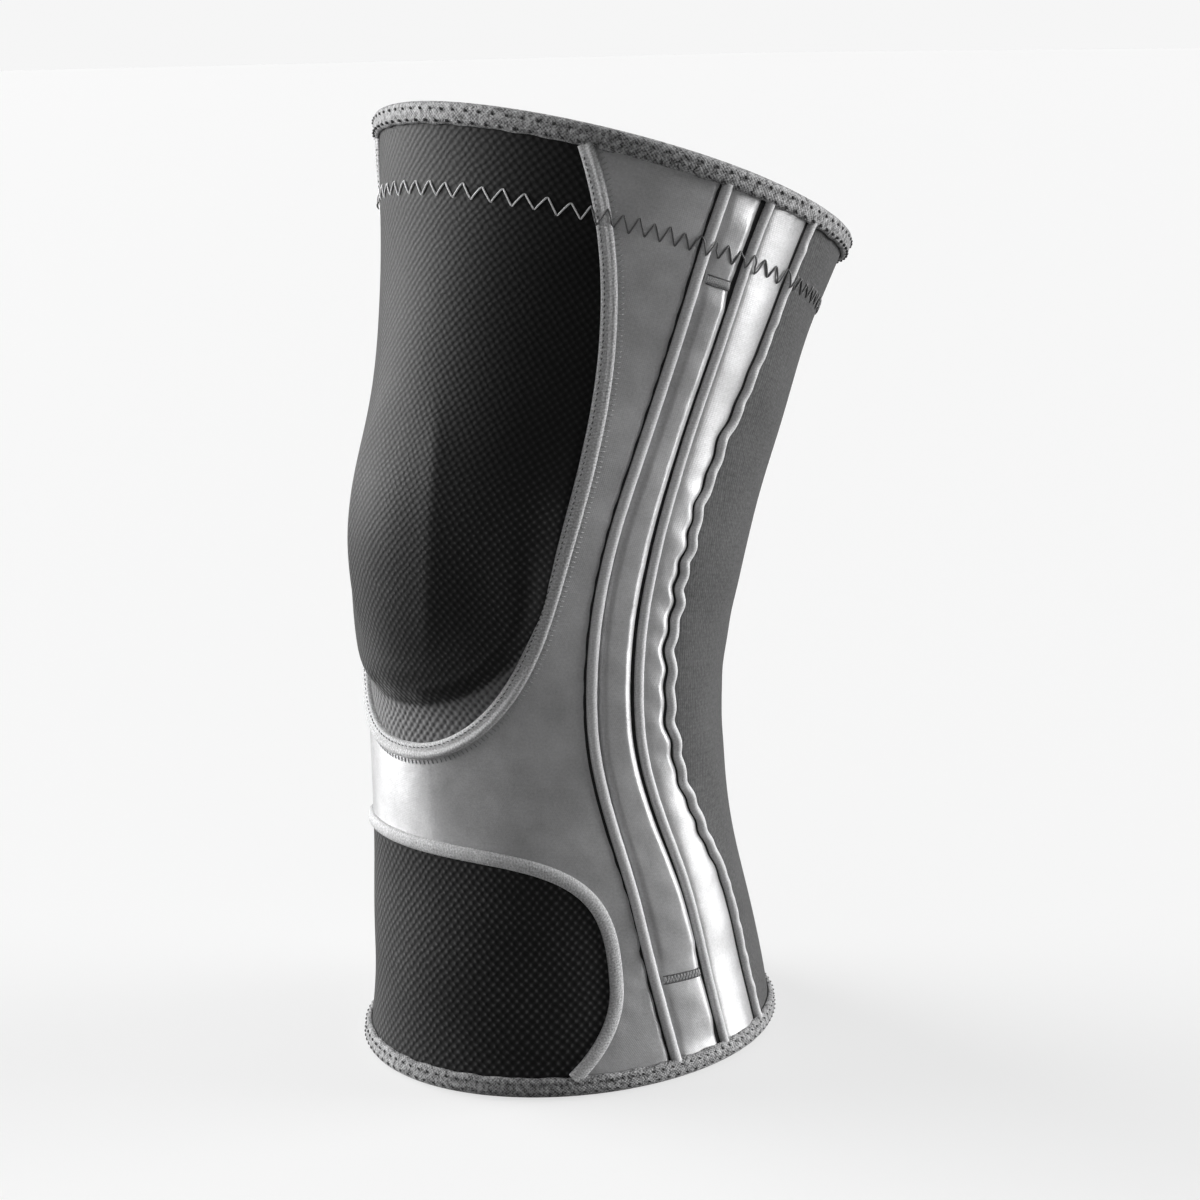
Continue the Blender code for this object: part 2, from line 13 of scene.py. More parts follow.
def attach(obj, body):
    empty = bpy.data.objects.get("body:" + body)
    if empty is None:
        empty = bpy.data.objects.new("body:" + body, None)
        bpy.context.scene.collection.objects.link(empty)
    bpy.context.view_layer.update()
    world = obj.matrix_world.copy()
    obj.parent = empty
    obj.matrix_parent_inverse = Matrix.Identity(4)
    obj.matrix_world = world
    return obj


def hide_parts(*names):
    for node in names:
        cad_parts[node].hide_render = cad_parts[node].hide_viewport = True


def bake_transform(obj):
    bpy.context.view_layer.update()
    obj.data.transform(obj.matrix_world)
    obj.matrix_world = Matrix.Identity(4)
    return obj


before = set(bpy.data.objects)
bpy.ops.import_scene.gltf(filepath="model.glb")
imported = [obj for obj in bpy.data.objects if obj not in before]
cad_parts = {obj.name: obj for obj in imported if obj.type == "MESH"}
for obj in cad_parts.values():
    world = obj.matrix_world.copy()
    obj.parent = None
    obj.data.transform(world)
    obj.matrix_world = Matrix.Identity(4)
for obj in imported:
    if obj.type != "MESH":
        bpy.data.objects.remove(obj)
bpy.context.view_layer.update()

# The leg surface, as in the CAD: rings round a bowed centre line, whose planes lean back more the
# higher they are.
LEG_HEIGHT, LEG_LENGTH = 0.273, 0.276
RIM_TILT = 20.0
CENTRE_START, CENTRE_LEAN, CENTRE_BOW = -0.0124, -0.031, 0.048
WAIST_HEIGHT, WAIST_HALF_WIDTH = 0.38, 0.055
LOWER_SPREAD, UPPER_SPREAD = 0.005, 0.019
SHIN_DEPTH = 0.061
LOWER_SWELL, LOWER_SWELL_END = 0.009, 0.25
UPPER_SWELL, UPPER_SWELL_START, UPPER_SWELL_POWER = 0.008, 0.30, 5
KNEECAP_BULGE, KNEECAP_HEIGHT, KNEECAP_REACH = 0.010, 0.58, 0.125
HOLLOW_DEPTH, HOLLOW_HEIGHT = 0.050, 0.42
CALF_SWELL, THIGH_SWELL, THIGH_SWELL_POWER = 0.018, 0.033, 1.25
MEAN_RADIUS = 0.063

PANEL_THICKNESS = 0.0012
LINING_OUTSIDE = -0.0022
LINING_THICKNESS = 0.0016
LOW_EDGE, HIGH_EDGE = 0.014, 0.991
BINDING_WIDTH = 0.0062
LOWER_BINDING_EDGE, UPPER_BINDING_EDGE = BINDING_WIDTH / LEG_LENGTH, 1 - BINDING_WIDTH / LEG_LENGTH

# Windows and side seams, as in the CAD.
KNEECAP_LOW, KNEECAP_WIDEST = 0.360, 0.680
KNEECAP_ANGLE, KNEECAP_RIM_ANGLE = 57.8, 41.0
KNEECAP_ROUNDING, KNEECAP_DRAW_POWER = 0.91, 2.5
SHIN_WIDEST, SHIN_TOP = 0.122, 0.264
SHIN_ANGLE, SHIN_RIM_ANGLE = 67.5, 52.5
SHIN_SIDE_ROUNDING, SHIN_TOP_ROUNDING = 0.46, 0.72
FAN_LOW, FAN_HIGH = 0.292, 0.378
FAN_LOW_BEND, FAN_HIGH_BEND = 1.45, 1.3
FRONT_SIDE_SEAM = (84.0, 75.5, 63.5, 68.0, 74.3, 78.5)
MIDDLE_SIDE_SEAM = (101.0, 93.0, 77.0, 80.0, 86.5, 91.7)
REAR_SIDE_SEAM = (120.5, 112.0, 88.5, 90.3, 101.7, 107.3)
POCKET_THICKNESS = 0.0008
POCKET_RAISED, POCKET_FADE = (0.158, 0.856), 0.022
STAY_LOW, STAY_HIGH = 0.190, 0.830
STAY_OUTSIDE = -0.0004
STAY_WIDTH, STAY_DEPTH = 0.0060, 0.0013
STAY_TURNS, STAY_STEPS_EACH = 32, 12
STAY_WIRE_RADIUS = 0.00045
BAR_TACK_HEIGHTS = {"lower": 0.116, "upper": 0.885}
ZIGZAG_HEIGHT = 0.915
ZIGZAG_SWING_MM = 4.2
ZIGZAG_KNIT_REACH = 44.0  # degrees; the stitch is longer on the front knit than round the rest
ZIGZAG_KNIT_STEPS, ZIGZAG_OTHER_STEPS = 30, 134
ZIGZAG_TALLER = 1.15  # how much taller it is round the rest
ZIGZAG_UNEVEN, ZIGZAG_UNEVEN_WAVES = 0.10, 37
ZIGZAG_RADIUS_MM = 0.27
BAND_HEIGHTS = (0.894, 0.972)
BAND_OUTSIDE = -0.0044
BAND_THICKNESS = 0.0008
BAND_RIB_PITCH = 0.088 / 7  # in height
PAD_CENTRE = 0.550
PAD_RADIUS = 0.034
PAD_OUTSIDE = -0.0080
PAD_TUBE_RADIUS = 0.0036
PAD_HALF_SPAN = 140
KNEE_HEIGHT = 0.541

MM = 0.001
SEAM_GAP = np.degrees(0.4 * MM / MEAN_RADIUS)  # between a strip and its seam, in degrees
scene = bpy.context.scene


# Places on the leg


def smooth_step(value):
    value = np.clip(value, 0, 1)
    return value * value * (3 - 2 * value)


def bell(value, width):
    return np.exp(-((value / width) ** 2))


def plateau(value, low, high, fade_in, fade_out):
    """1 between two values and 0 outside them, with smooth fades inside both ends."""
    return smooth_step((value - low) / fade_in) * smooth_step((high - value) / fade_out)


def above(height, start):
    return np.clip((height - start) / (1 - start), 0, None)


def below(height, end):
    return np.clip((end - height) / end, 0, None)


def undulation(angle, height):
    """The slow unevenness of a worn sleeve, none of it at the rims."""
    turn = np.radians(angle)
    wave = (np.sin(3 * turn + 9 * height + 0.4) + 0.8 * np.sin(5 * turn - 17 * height + 1.9)
            + 0.6 * np.sin(2 * turn + 31 * height + 4.0))
    return 0.35 * MM * plateau(height, 0, 1, 0.12, 0.12) * wave


def centre_line(height):
    return CENTRE_START + CENTRE_LEAN * height + CENTRE_BOW * height**2, LEG_HEIGHT * height


def leg_point(angle, height, outside=0.0):
    angle, height, outside = np.broadcast_arrays(*(np.asarray(v, float)
                                                   for v in (angle, height, outside)))
    centre_y, centre_z = centre_line(height)
    half_width = (WAIST_HALF_WIDTH + LOWER_SPREAD * below(height, WAIST_HEIGHT) ** 2
                  + UPPER_SPREAD * above(height, WAIST_HEIGHT) ** 2)
    front = (SHIN_DEPTH + LOWER_SWELL * below(height, LOWER_SWELL_END) ** 2
             + UPPER_SWELL * above(height, UPPER_SWELL_START) ** UPPER_SWELL_POWER
             + KNEECAP_BULGE * bell(height - KNEECAP_HEIGHT, KNEECAP_REACH))
    back = (HOLLOW_DEPTH + CALF_SWELL * (1 - smooth_step(height / HOLLOW_HEIGHT))
            + THIGH_SWELL * above(height, HOLLOW_HEIGHT) ** THIGH_SWELL_POWER)
    turn, tilt = np.radians(angle), np.radians(RIM_TILT * smooth_step(height))
    outside = outside + undulation(angle, height)
    along = -(np.where(np.cos(turn) > 0, front, back) + outside) * np.cos(turn)
    return np.stack(((half_width + outside) * np.sin(turn),
                     centre_y + along * np.cos(tilt),
                     centre_z - along * np.sin(tilt)), -1)


def unit(vectors):
    return vectors / np.linalg.norm(vectors, axis=-1, keepdims=True)


def leg_normal(angle, height):
    angle, height = np.asarray(angle, float), np.asarray(height, float)
    across = leg_point(angle + 0.5, height) - leg_point(angle - 0.5, height)
    up = leg_point(angle, height + 0.002) - leg_point(angle, height - 0.002)
    return unit(np.cross(across, up))


def run_along(points):
    """How far along a line of points each one is."""
    return np.concatenate(([0], np.cumsum(np.linalg.norm(np.diff(points, axis=0), axis=1))))


HEIGHTS = np.linspace(0, 1, 101)


def rise_mm(height, angle):
    """How far up the leg a height is, along the line at an angle, in millimetres."""
    return np.interp(height, HEIGHTS, run_along(leg_point(angle, HEIGHTS)) / MM)


def side_seam(angles, shift_mm=lambda height: 0.0):
    """A smooth seam up the left side, read by height, and moved back by a distance."""
    ends = np.array([2 * angles[0] - angles[1], *angles, 2 * angles[-1] - angles[-2]])

    def read(height):
        height = np.asarray(height, float)
        place = height * (len(angles) - 1)
        at = np.clip(place.astype(int), 0, len(angles) - 2)
        t = place - at
        p0, p1, p2, p3 = (ends[at + k] for k in range(4))
        angle = 0.5 * (2 * p1 + (p2 - p0) * t + (2 * p0 - 5 * p1 + 4 * p2 - p3) * t**2
                       + (3 * p1 - p0 - 3 * p2 + p3) * t**3)
        return angle + np.degrees(shift_mm(height) * MM / MEAN_RADIUS), height

    return read


def evenly(line):
    """The same line, read in even steps along the leg."""
    t = np.linspace(0, 1, 2001)
    run = run_along(leg_point(*line(t)))
    return lambda share: line(np.interp(share, run / run[-1], t))


def kneecap_edge(t):
    """The kneecap window's left edge, from the middle of the strap to the upper rim."""
    turn, rise = np.pi / 2 * np.clip(2 * t, 0, 1), np.clip(2 * t - 1, 0, 1)
    return (KNEECAP_ANGLE * np.sin(turn) ** KNEECAP_ROUNDING
            - (KNEECAP_ANGLE - KNEECAP_RIM_ANGLE) * rise**KNEECAP_DRAW_POWER,
            KNEECAP_WIDEST - (KNEECAP_WIDEST - KNEECAP_LOW) * np.cos(turn) ** KNEECAP_ROUNDING
            + (HIGH_EDGE - KNEECAP_WIDEST) * rise)


def shin_edge(t):
    """The shin window's left edge, from the lower rim to the middle of the strap."""
    turn, drop = np.pi / 2 * np.clip(2 * t - 1, 0, 1), np.clip(1 - 2 * t, 0, 1)
    return (SHIN_ANGLE * np.maximum(np.cos(turn), 0) ** SHIN_SIDE_ROUNDING
            - (SHIN_ANGLE - SHIN_RIM_ANGLE) * drop**2,
            SHIN_WIDEST + (SHIN_TOP - SHIN_WIDEST) * np.sin(turn) ** SHIN_TOP_ROUNDING
            - (SHIN_WIDEST - LOW_EDGE) * drop)


def across_the_front(edge, rim_at_end):
    """A window's whole edge, read from 0 at the right rim end to 1 at the left one."""

    def read(t):
        t = np.asarray(t, float)
        from_middle = np.minimum(np.abs(2 * t - 1), 1)
        angle, height = edge(from_middle if rim_at_end else 1 - from_middle)
        return np.where(t >= 0.5, angle, -angle), height

    return read


def rear_sway(height):
    """How far the gathered rear seam wanders from its line, in millimetres towards the back."""
    height = np.asarray(height, float)
    rise = height * LEG_LENGTH / MM
    sway = 0.50 * np.sin(rise / 1.55 + 1.4 * np.sin(rise / 13)) + 0.45 * np.sin(rise / 3.4 + 2)
    return plateau(height, 0.14, 0.86, 0.16, 0.14) * sway


front_seam = side_seam(FRONT_SIDE_SEAM)
middle_seam = side_seam(MIDDLE_SIDE_SEAM)
rear_seam = side_seam(REAR_SIDE_SEAM, rear_sway)
kneecap_window = evenly(kneecap_edge)
shin_window = evenly(shin_edge)
kneecap_line = across_the_front(kneecap_window, True)
shin_line = across_the_front(shin_window, False)

# The kneecap's bulge in the front knit, on the knit's own plane: its middle's height, its reach below
# that, and how much narrower across it counts.
BULGE_RISE_MM = float(rise_mm(PAD_CENTRE, 0))
BULGE_REACH_MM = 45.5
BULGE_NARROWING = 0.8


def paced(line, start, end, pitch):
    """Values along a line that lie one pitch apart on the leg."""
    t = np.linspace(start, end, 1500)
    run = run_along(leg_point(*line(t)))
    return np.interp(np.linspace(0, run[-1], round(run[-1] / pitch) + 1), run, t)


def rails(line, t):
    """Points along a line on the leg, with the directions along it, to its side and outwards."""
    angle, height = line(t)
    step = 5e-4
    place = leg_point(angle, height)
    tangent = unit(leg_point(*line(t + step)) - leg_point(*line(t - step)))
    normal = leg_normal(angle, height)
    side = unit(np.cross(tangent, normal))
    return place, tangent, side, np.cross(side, tangent)


# Mesh building


def finish_mesh(name, points, faces, corners, stuff, sharp=50):
    """A smooth-shaded object. corners are each face corner's place in the weave, in millimetres."""
    mesh = bpy.data.meshes.new(name)
    mesh.from_pydata(points.tolist(), [], faces)
    layer = mesh.uv_layers.new(name="cloth")
    layer.data.foreach_set("uv", np.asarray(corners, np.float32).ravel())
    for each in stuff if isinstance(stuff, list) else [stuff]:
        mesh.materials.append(each)
    mesh.shade_smooth()
    mesh.set_sharp_from_angle(angle=np.radians(sharp))
    thing = bpy.data.objects.new(name, mesh)
    scene.collection.objects.link(thing)
    return thing


def cloth(name, grids, thickness, stuff):
    """A closed cloth body. Each grid is (angle, height, outside, u, v): the outer face's points and
    their places in the weave, in millimetres. Points that meet are joined."""
    points, inner, weave, cells, base = [], [], [], [], 0
    for angle, height, outside, u, v in grids:
        angle, height, outside, u, v = np.broadcast_arrays(angle, height, outside, u, v)
        ids = base + np.arange(angle.size).reshape(angle.shape)
        base += angle.size
        points.append(leg_point(angle, height, outside).reshape(-1, 3))
        inner.append(leg_point(angle, height, outside - thickness).reshape(-1, 3))
        weave.append(np.stack((u, v), -1).reshape(-1, 2))
        cells.append(np.stack((ids[:-1, :-1], ids[:-1, 1:], ids[1:, 1:], ids[1:, :-1]), -1).reshape(-1, 4))
    points, inner, weave, cells = (np.concatenate(parts) for parts in (points, inner, weave, cells))
    _, first, joined = np.unique(np.round(points, 7), axis=0, return_index=True, return_inverse=True)
    points, inner, joined = points[first], inner[first], joined.reshape(-1)
    count = len(points)
    faces, corners, edges = [], [], {}
    for cell in cells.tolist():
        ring = []
        for corner in cell:
            vertex = int(joined[corner])
            if not ring or ring[-1][0] != vertex:
                ring.append((vertex, corner))
        if len(ring) > 1 and ring[0][0] == ring[-1][0]:
            ring.pop()
        if len(ring) < 3:
            continue
        faces.append([vertex for vertex, _ in ring])
        corners += [weave[corner] for _, corner in ring]
        faces.append([vertex + count for vertex, _ in reversed(ring)])
        corners += [weave[corner] for _, corner in reversed(ring)]
        for (a, corner_a), (b, corner_b) in zip(ring, ring[1:] + ring[:1]):
            edges[a, b] = (corner_a, corner_b)
    for (a, b), (corner_a, corner_b) in edges.items():
        if (b, a) not in edges:
            faces.append([b, a, a + count, b + count])
            corners += [weave[corner_b], weave[corner_a], weave[corner_a], weave[corner_b]]
    return finish_mesh(name, np.concatenate((points, inner)), faces, corners, stuff)


def closed_run(points):
    """How far along a closed line of points each one is, and at the end its whole length."""
    return run_along(np.concatenate((points, points[:1])))


def tube_faces(girth, run, rings, start=0):
    """The faces between the rings of a tube, with each corner's place in the weave. A tube whose run
    has one more entry than it has rings is closed on itself; any other has a cap at both ends."""
    columns = len(girth) - 1
    faces, corners = [], []
    for ring in range(len(run) - 1):
        first, beyond = start + ring * columns, start + (ring + 1) % rings * columns
        for column in range(columns):
            near = (column + 1) % columns
            faces.append([first + column, first + near, beyond + near, beyond + column])
            corners += [(girth[column], run[ring]), (girth[column + 1], run[ring]),
                        (girth[column + 1], run[ring + 1]), (girth[column], run[ring + 1])]
    if rings == len(run):
        last = start + (rings - 1) * columns
        faces += [list(range(start, start + columns))[::-1], list(range(last, last + columns))]
        corners += [(place, run[0]) for place in girth[-2::-1]] + [(place, run[-1]) for place in girth[:-1]]
    return faces, corners


def sweep(name, place, side, out, section, stuff, slots=None, sharp=50):
    """A section carried along a line. The section is a closed loop of (across, outwards) points in
    millimetres, one for the whole line or one for each place on it."""
    section = np.broadcast_to(np.asarray(section, float), (len(place), *np.shape(section)[-2:]))
    points = (place[:, None] + side[:, None] * section[..., :1] * MM
              + out[:, None] * section[..., 1:] * MM)
    faces, corners = tube_faces(closed_run(section[0]), run_along(place) / MM, len(place))
    thing = finish_mesh(name, points.reshape(-1, 3), faces, corners, stuff, sharp)
    if slots:
        thing.data.polygons.foreach_set("material_index", slots * (len(place) - 1) + [0, 0])
    turn_outwards(thing)
    return thing


def turn_outwards(thing):
    """Turns a closed mesh's faces outwards, by the sign of its volume."""
    mesh = thing.data
    mesh.calc_loop_triangles()
    co = np.zeros(len(mesh.vertices) * 3)
    mesh.vertices.foreach_get("co", co)
    tri = np.zeros(len(mesh.loop_triangles) * 3, int)
    mesh.loop_triangles.foreach_get("vertices", tri)
    a, b, c = np.moveaxis(co.reshape(-1, 3)[tri.reshape(-1, 3)], 1, 0)
    if (a * np.cross(b, c)).sum() < 0:
        mesh.flip_normals()


THREAD_WEAVE_STEP_MM = 7.3


def threads(name, paths, out, radius_mm, stuff, sides=6, slots=None, taper=0.55):
    """Short lengths of thread. paths is (threads, points, 3) and out the way outwards at each."""
    length = paths.shape[1]
    tangent = unit(np.gradient(paths, axis=1))
    side = unit(np.cross(tangent, out))
    up = np.cross(side, tangent)
    turn = 2 * np.pi * np.arange(sides) / sides
    radius = np.full(length, radius_mm * MM)
    radius[[0, -1]] *= taper
    ring = side[:, :, None] * np.cos(turn)[:, None] + up[:, :, None] * np.sin(turn)[:, None]
    points = (paths[:, :, None] + ring * radius[:, None, None]).reshape(-1, 3)
    girth = np.arange(sides + 1) * 2 * np.pi * radius_mm / sides
    faces, corners = [], []
    for one, path in enumerate(paths):
        run = run_along(path) / MM + one * THREAD_WEAVE_STEP_MM
        more_faces, more_corners = tube_faces(girth, run, length, one * length * sides)
        faces += more_faces
        corners += more_corners
    thing = finish_mesh(name, points, faces, corners, stuff, 80)
    if slots is not None:
        of_faces = np.repeat(np.asarray(slots, int), (length - 1) * sides + 2)
        thing.data.polygons.foreach_set("material_index", of_faces.tolist())
    turn_outwards(thing)
    return thing


def stitch_row(name, line, pitch_mm, length_mm, across_mm, outside_mm, radius_mm, stuff, span=(0, 1),
               lean_mm=0.0, sink_mm=0.35, offset=0.0):
    """Stitches along a line. across_mm is how far to its side they lie, or (from, to) for stitches
    that cross the line's side; lean_mm slants them."""
    t = paced(line, *span, pitch_mm * MM)
    t = t[:-1] + np.diff(t) * (0.5 + offset)
    place, tangent, side, out = rails(line, t)
    share = np.linspace(0, 1, 5)
    arch = outside_mm - sink_mm * np.abs(2 * share - 1) ** 3
    if np.ndim(across_mm):
        first, second = across_mm
        along = (share - 0.5) * lean_mm
        across = first + (second - first) * share
    else:
        along = (share - 0.5) * length_mm
        across = across_mm + (share - 0.5) * lean_mm
    paths = (place[:, None] + tangent[:, None] * along[:, None] * MM + side[:, None] * across[:, None] * MM
             + out[:, None] * arch[:, None] * MM)
    return threads(name, paths, np.broadcast_to(out[:, None], paths.shape), radius_mm, stuff)


def mirrored(thing):
    """The same piece on the right side."""
    mesh = thing.data.copy()
    mesh.name = thing.name.replace("_left", "_right")
    mesh.transform(Matrix.Scale(-1, 4, (1, 0, 0)))
    mesh.flip_normals()
    copy = bpy.data.objects.new(mesh.name, mesh)
    scene.collection.objects.link(copy)
    return copy


# Materials


def add(tree, kind, values=None, **settings):
    made = tree.nodes.new("ShaderNode" + kind)
    for name, value in settings.items():
        setattr(made, name, value)
    for name, value in (values or {}).items():
        if isinstance(value, Value):
            tree.links.new(value.socket, made.inputs[name])
        else:
            made.inputs[name].default_value = value
    return made


class Value:
    """A value in a material's node tree, which adds and multiplies like a number."""

    def __init__(self, tree, socket):
        self.tree, self.socket = tree, socket

    def node(self, output, kind, values, **settings):
        return Value(self.tree, add(self.tree, kind, values, **settings).outputs[output])

    def maths(self, operation, other=0.0):
        return self.node(0, "Math", {0: self, 1: other}, operation=operation)

    def __add__(self, other):
        return self.maths("ADD", other)

    def __sub__(self, other):
        return self.maths("SUBTRACT", other)

    def __mul__(self, other):
        return self.maths("MULTIPLY", other)

    def noise(self, scale, detail=2.0, roughness=0.5):
        return self.node("Fac", "TexNoise", {"Vector": self, "Scale": scale, "Detail": detail,
                                             "Roughness": roughness})

    def wave(self, pitch):
        """A cosine from -1 to 1 with the given pitch."""
        return (self * (2 * np.pi / pitch)).maths("COSINE")

    def ribs(self, pitch):
        """A cosine from 0 to 1 with the given pitch."""
        return self.wave(pitch) * 0.5 + 0.5

    def fade_in(self, start, end):
        """0 before the start, 1 after the end and smooth between them."""
        return self.node("Result", "MapRange", {"Value": self, "From Min": start, "From Max": end},
                         interpolation_type="SMOOTHSTEP")

    def ramp(self, *stops):
        """Grey values along this one, as (place, grey) pairs."""
        made = add(self.tree, "ValToRGB", {"Fac": self})
        band = made.color_ramp.elements
        while len(band) < len(stops):
            band.new(0.5)
        for element, (place, grey) in zip(band, stops):
            element.position = place
            element.color = (grey, grey, grey * 1.01, 1)
        return Value(self.tree, made.outputs["Color"])

    def bump(self, distance_mm, strength=1.0, under=None):
        values = {"Height": self, "Distance": distance_mm * MM, "Strength": strength}
        if under is not None:
            values["Normal"] = under
        return self.node("Normal", "Bump", values)


def material(name, paint, **shader_values):
    """A node material. paint(uv, u, v) returns its colour, normal and roughness, or None for one that
    is a constant. u and v are places in the weave in millimetres, v along the leg or the thread."""
    made = bpy.data.materials.new(name)
    made.use_nodes = True
    tree = made.node_tree
    shader = tree.nodes["Principled BSDF"]
    for key, value in shader_values.items():
        shader.inputs[key.replace("_", " ")].default_value = value
    uv = Value(tree, add(tree, "UVMap", uv_map="cloth").outputs["UV"])
    parts = add(tree, "SeparateXYZ", {0: uv}).outputs
    painted = paint(uv, Value(tree, parts["X"]), Value(tree, parts["Y"]))
    for key, value in zip(("Base Color", "Normal", "Roughness"), painted):
        if value is not None:
            tree.links.new(value.socket, shader.inputs[key])
    return made


def add_tangent(made):
    """Threads along the cloth give the sheen its direction."""
    tree = made.node_tree
    tangent = add(tree, "Tangent", direction_type="UV_MAP", uv_map="cloth").outputs["Tangent"]
    tree.links.new(tangent, tree.nodes["Principled BSDF"].inputs["Tangent"])


def dotted_knit(pitch, loose_pitch, greys, depth_mm):
    """Raised knit dots in staggered rows on a darker mesh ground. Below the kneecap the knit is looser:
    its dots are larger, deeper and paler, the paleness partly the knit's own and partly painted light for
    the light that falls there. Below the thigh, and more on the shin, the whole knit is painted lighter,
    which is painted light too. greys are for the ground, the dots and the pale dots."""
    ground, dot, pale = greys

    def paint(uv, u, v):
        across, rise = u * BULGE_NARROWING, v - BULGE_RISE_MM
        distance = (across * across + rise * rise).maths("SQRT")
        outside_bulge = distance.fade_in(BULGE_REACH_MM - 2, BULGE_REACH_MM + 1.5)
        loose = outside_bulge * rise.fade_in(-5, -25)
        # The pale share: paler dots of the looser knit below the kneecap, the paleness partly the knit's own
        # and partly painted light.
        pale_lit_share = loose * rise.fade_in(-95, -75)
        # Painted light: the knit is made lighter below the thigh and lighter again on the shin, for the light
        # that falls there.
        painted_light_below_thigh, painted_light_on_shin = rise.fade_in(42, 22), rise.fade_in(-78, -98)
        u, v = uv.noise(0.22) * 1.6 + u, uv.noise(0.16) * 1.6 + v
        fine = u.wave(pitch) * v.wave(pitch * 1.1)
        large = u.wave(loose_pitch) * v.wave(loose_pitch * 1.1)
        dots = ((large - fine) * loose + fine) * 0.5 + 0.5
        fibre = uv.noise(2.6, 3, 0.6)
        mixed = (fibre * 0.35 + dots * 0.75 + uv.noise(0.05) * 0.25) * 0.5
        # Painted light is added here: the pale share, which is partly painted light, and the painted
        # lightening below the thigh and on the shin.
        mixed = mixed + pale_lit_share * 0.4 + painted_light_below_thigh * 0.09 + painted_light_on_shin * 0.04
        depth = dots * (pale_lit_share * 0.45 + loose * 0.15 + 0.35)
        return (mixed.ramp((0.15, ground), (0.42, dot), (0.55, dot * 2.6), (0.88, pale)),
                depth.bump(depth_mm, 1.0, fibre.bump(0.10, 0.6)), fibre * 0.2 + 0.50)

    return paint


def ribbed_knit(pitch, dark, light, depth_mm):
    """Fine wales that run up the leg."""

    def paint(uv, u, v):
        u = uv.noise(0.12) * 1.5 + u
        loops = u.ribs(pitch) * (v.ribs(pitch * 0.9) * 0.5 + 0.5)
        fibre = uv.noise(1.9, 4, 0.65)
        mixed = loops * 0.10 + fibre * 0.2 + uv.noise(0.7, 3, 0.7) * 0.60 + uv.noise(0.06, 3) * 0.15
        return (mixed.ramp((0.34, dark), (0.66, light)),
                loops.bump(depth_mm, 0.5, fibre.bump(0.12, 0.5)), fibre * 0.15 + 0.62)

    return paint


def satin_weave(dark, light, rough):
    """A close, shiny warp knit: faint slanting threads, small unevenness and soft clouds."""

    def paint(uv, u, v):
        thread = (u + v * 0.55).ribs(0.62) * v.ribs(0.55)
        grain = uv.noise(1.3, 4, 0.7)
        mixed = grain * 0.55 + uv.noise(0.07, 3, 0.55) * 0.55
        under = grain.bump(0.06, 0.6, uv.noise(0.18).bump(0.35, 0.5))
        return mixed.ramp((0.38, dark), (0.70, light)), thread.bump(0.035, 0.7, under), grain * 0.16 + rough

    return paint


def twill_tape(dark, light, rib_mm, rib_depth_mm, fleck_depth_mm, rough=0.5):
    """A narrow woven tape with ribs across it."""

    def paint(uv, u, v):
        rib, fleck = (u * 0.35 + v).ribs(rib_mm), uv.noise(1.6, 4, 0.7)
        return ((rib * 0.06 + fleck * 0.98).ramp((0.25, dark), (0.85, light)),
                rib.bump(rib_depth_mm, 0.5, fleck.bump(fleck_depth_mm, 0.8)), fleck * 0.2 + rough)

    return paint


def basket_weave(dark, light, pitch):
    """A coarse woven binding whose light and dark threads pass over and under each other."""

    def paint(uv, u, v):
        wander, fleck = uv.noise(0.5), uv.noise(0.55, 4, 0.8)
        over = (wander * 0.9 + u).wave(pitch) * (wander * -0.9 + v).wave(pitch * 1.15) * 0.5 + 0.5
        return ((over * 0.12 + fleck * 0.9).ramp((0.38, dark), (0.68, light)),
                over.bump(0.12, 0.8, fleck.bump(0.50, 0.9)), fleck * 0.2 + 0.6)

    return paint


def twisted_thread(dark, light):
    def paint(uv, u, v):
        ply = (u * 0.8 + v).ribs(0.55)
        colour = (ply * 0.5 + uv.noise(2.0, 3) * 0.5).ramp((0.1, dark), (0.8, light))
        return colour, ply.bump(0.08, 0.8), None

    return paint


def brushed_steel(scale, detail, dark, rough, by_place=False):
    """Grain that is long one way, laid by the weave or, for pieces without one, by place."""

    def paint(uv, u, v):
        source = uv.node("Position", "NewGeometry", {}) if by_place else uv
        grain = source.node("Vector", "Mapping", {"Vector": source, "Scale": scale}).noise(1.0, detail)
        return grain.ramp((0.3, dark), (0.7, dark + 0.16)), grain.bump(0.02, 0.5), grain * 0.2 + rough

    return paint


def moulded_gel(uv, u, v):
    cells = uv.node("Distance", "TexVoronoi", {"Vector": uv, "Scale": 0.45})
    cloud = uv.noise(0.15, 3)
    colour = (cells * 0.4 + cloud * 0.6).ramp((0.2, 0.19), (0.9, 0.30))
    return colour, cells.bump(0.35, 0.7), cloud * 0.15 + 0.28


front_knit = material("front_knit", dotted_knit(2.6, 3.0, (0.001, 0.009, 0.19), 0.40),
                      Specular_IOR_Level=0.18, Sheen_Weight=0.34, Sheen_Roughness=0.3)
rear_knit = material("rear_knit", ribbed_knit(1.15, 0.020, 0.100, 0.06), Specular_IOR_Level=0.3,
                     Sheen_Weight=0.15, Sheen_Roughness=0.4)
satin = material("satin", satin_weave(0.38, 0.60, 0.34), Specular_IOR_Level=0.8, Metallic=0.45,
                 Anisotropic=0.8, Anisotropic_Rotation=0.25)
add_tangent(satin)
tape = material("tape", twill_tape(0.12, 1.0, 0.95, 0.04, 0.40), Specular_IOR_Level=0.5, Sheen_Weight=0.1)
cord = material("cord", twill_tape(0.40, 0.86, 0.80, 0.02, 0.16, 0.36), Specular_IOR_Level=0.7)
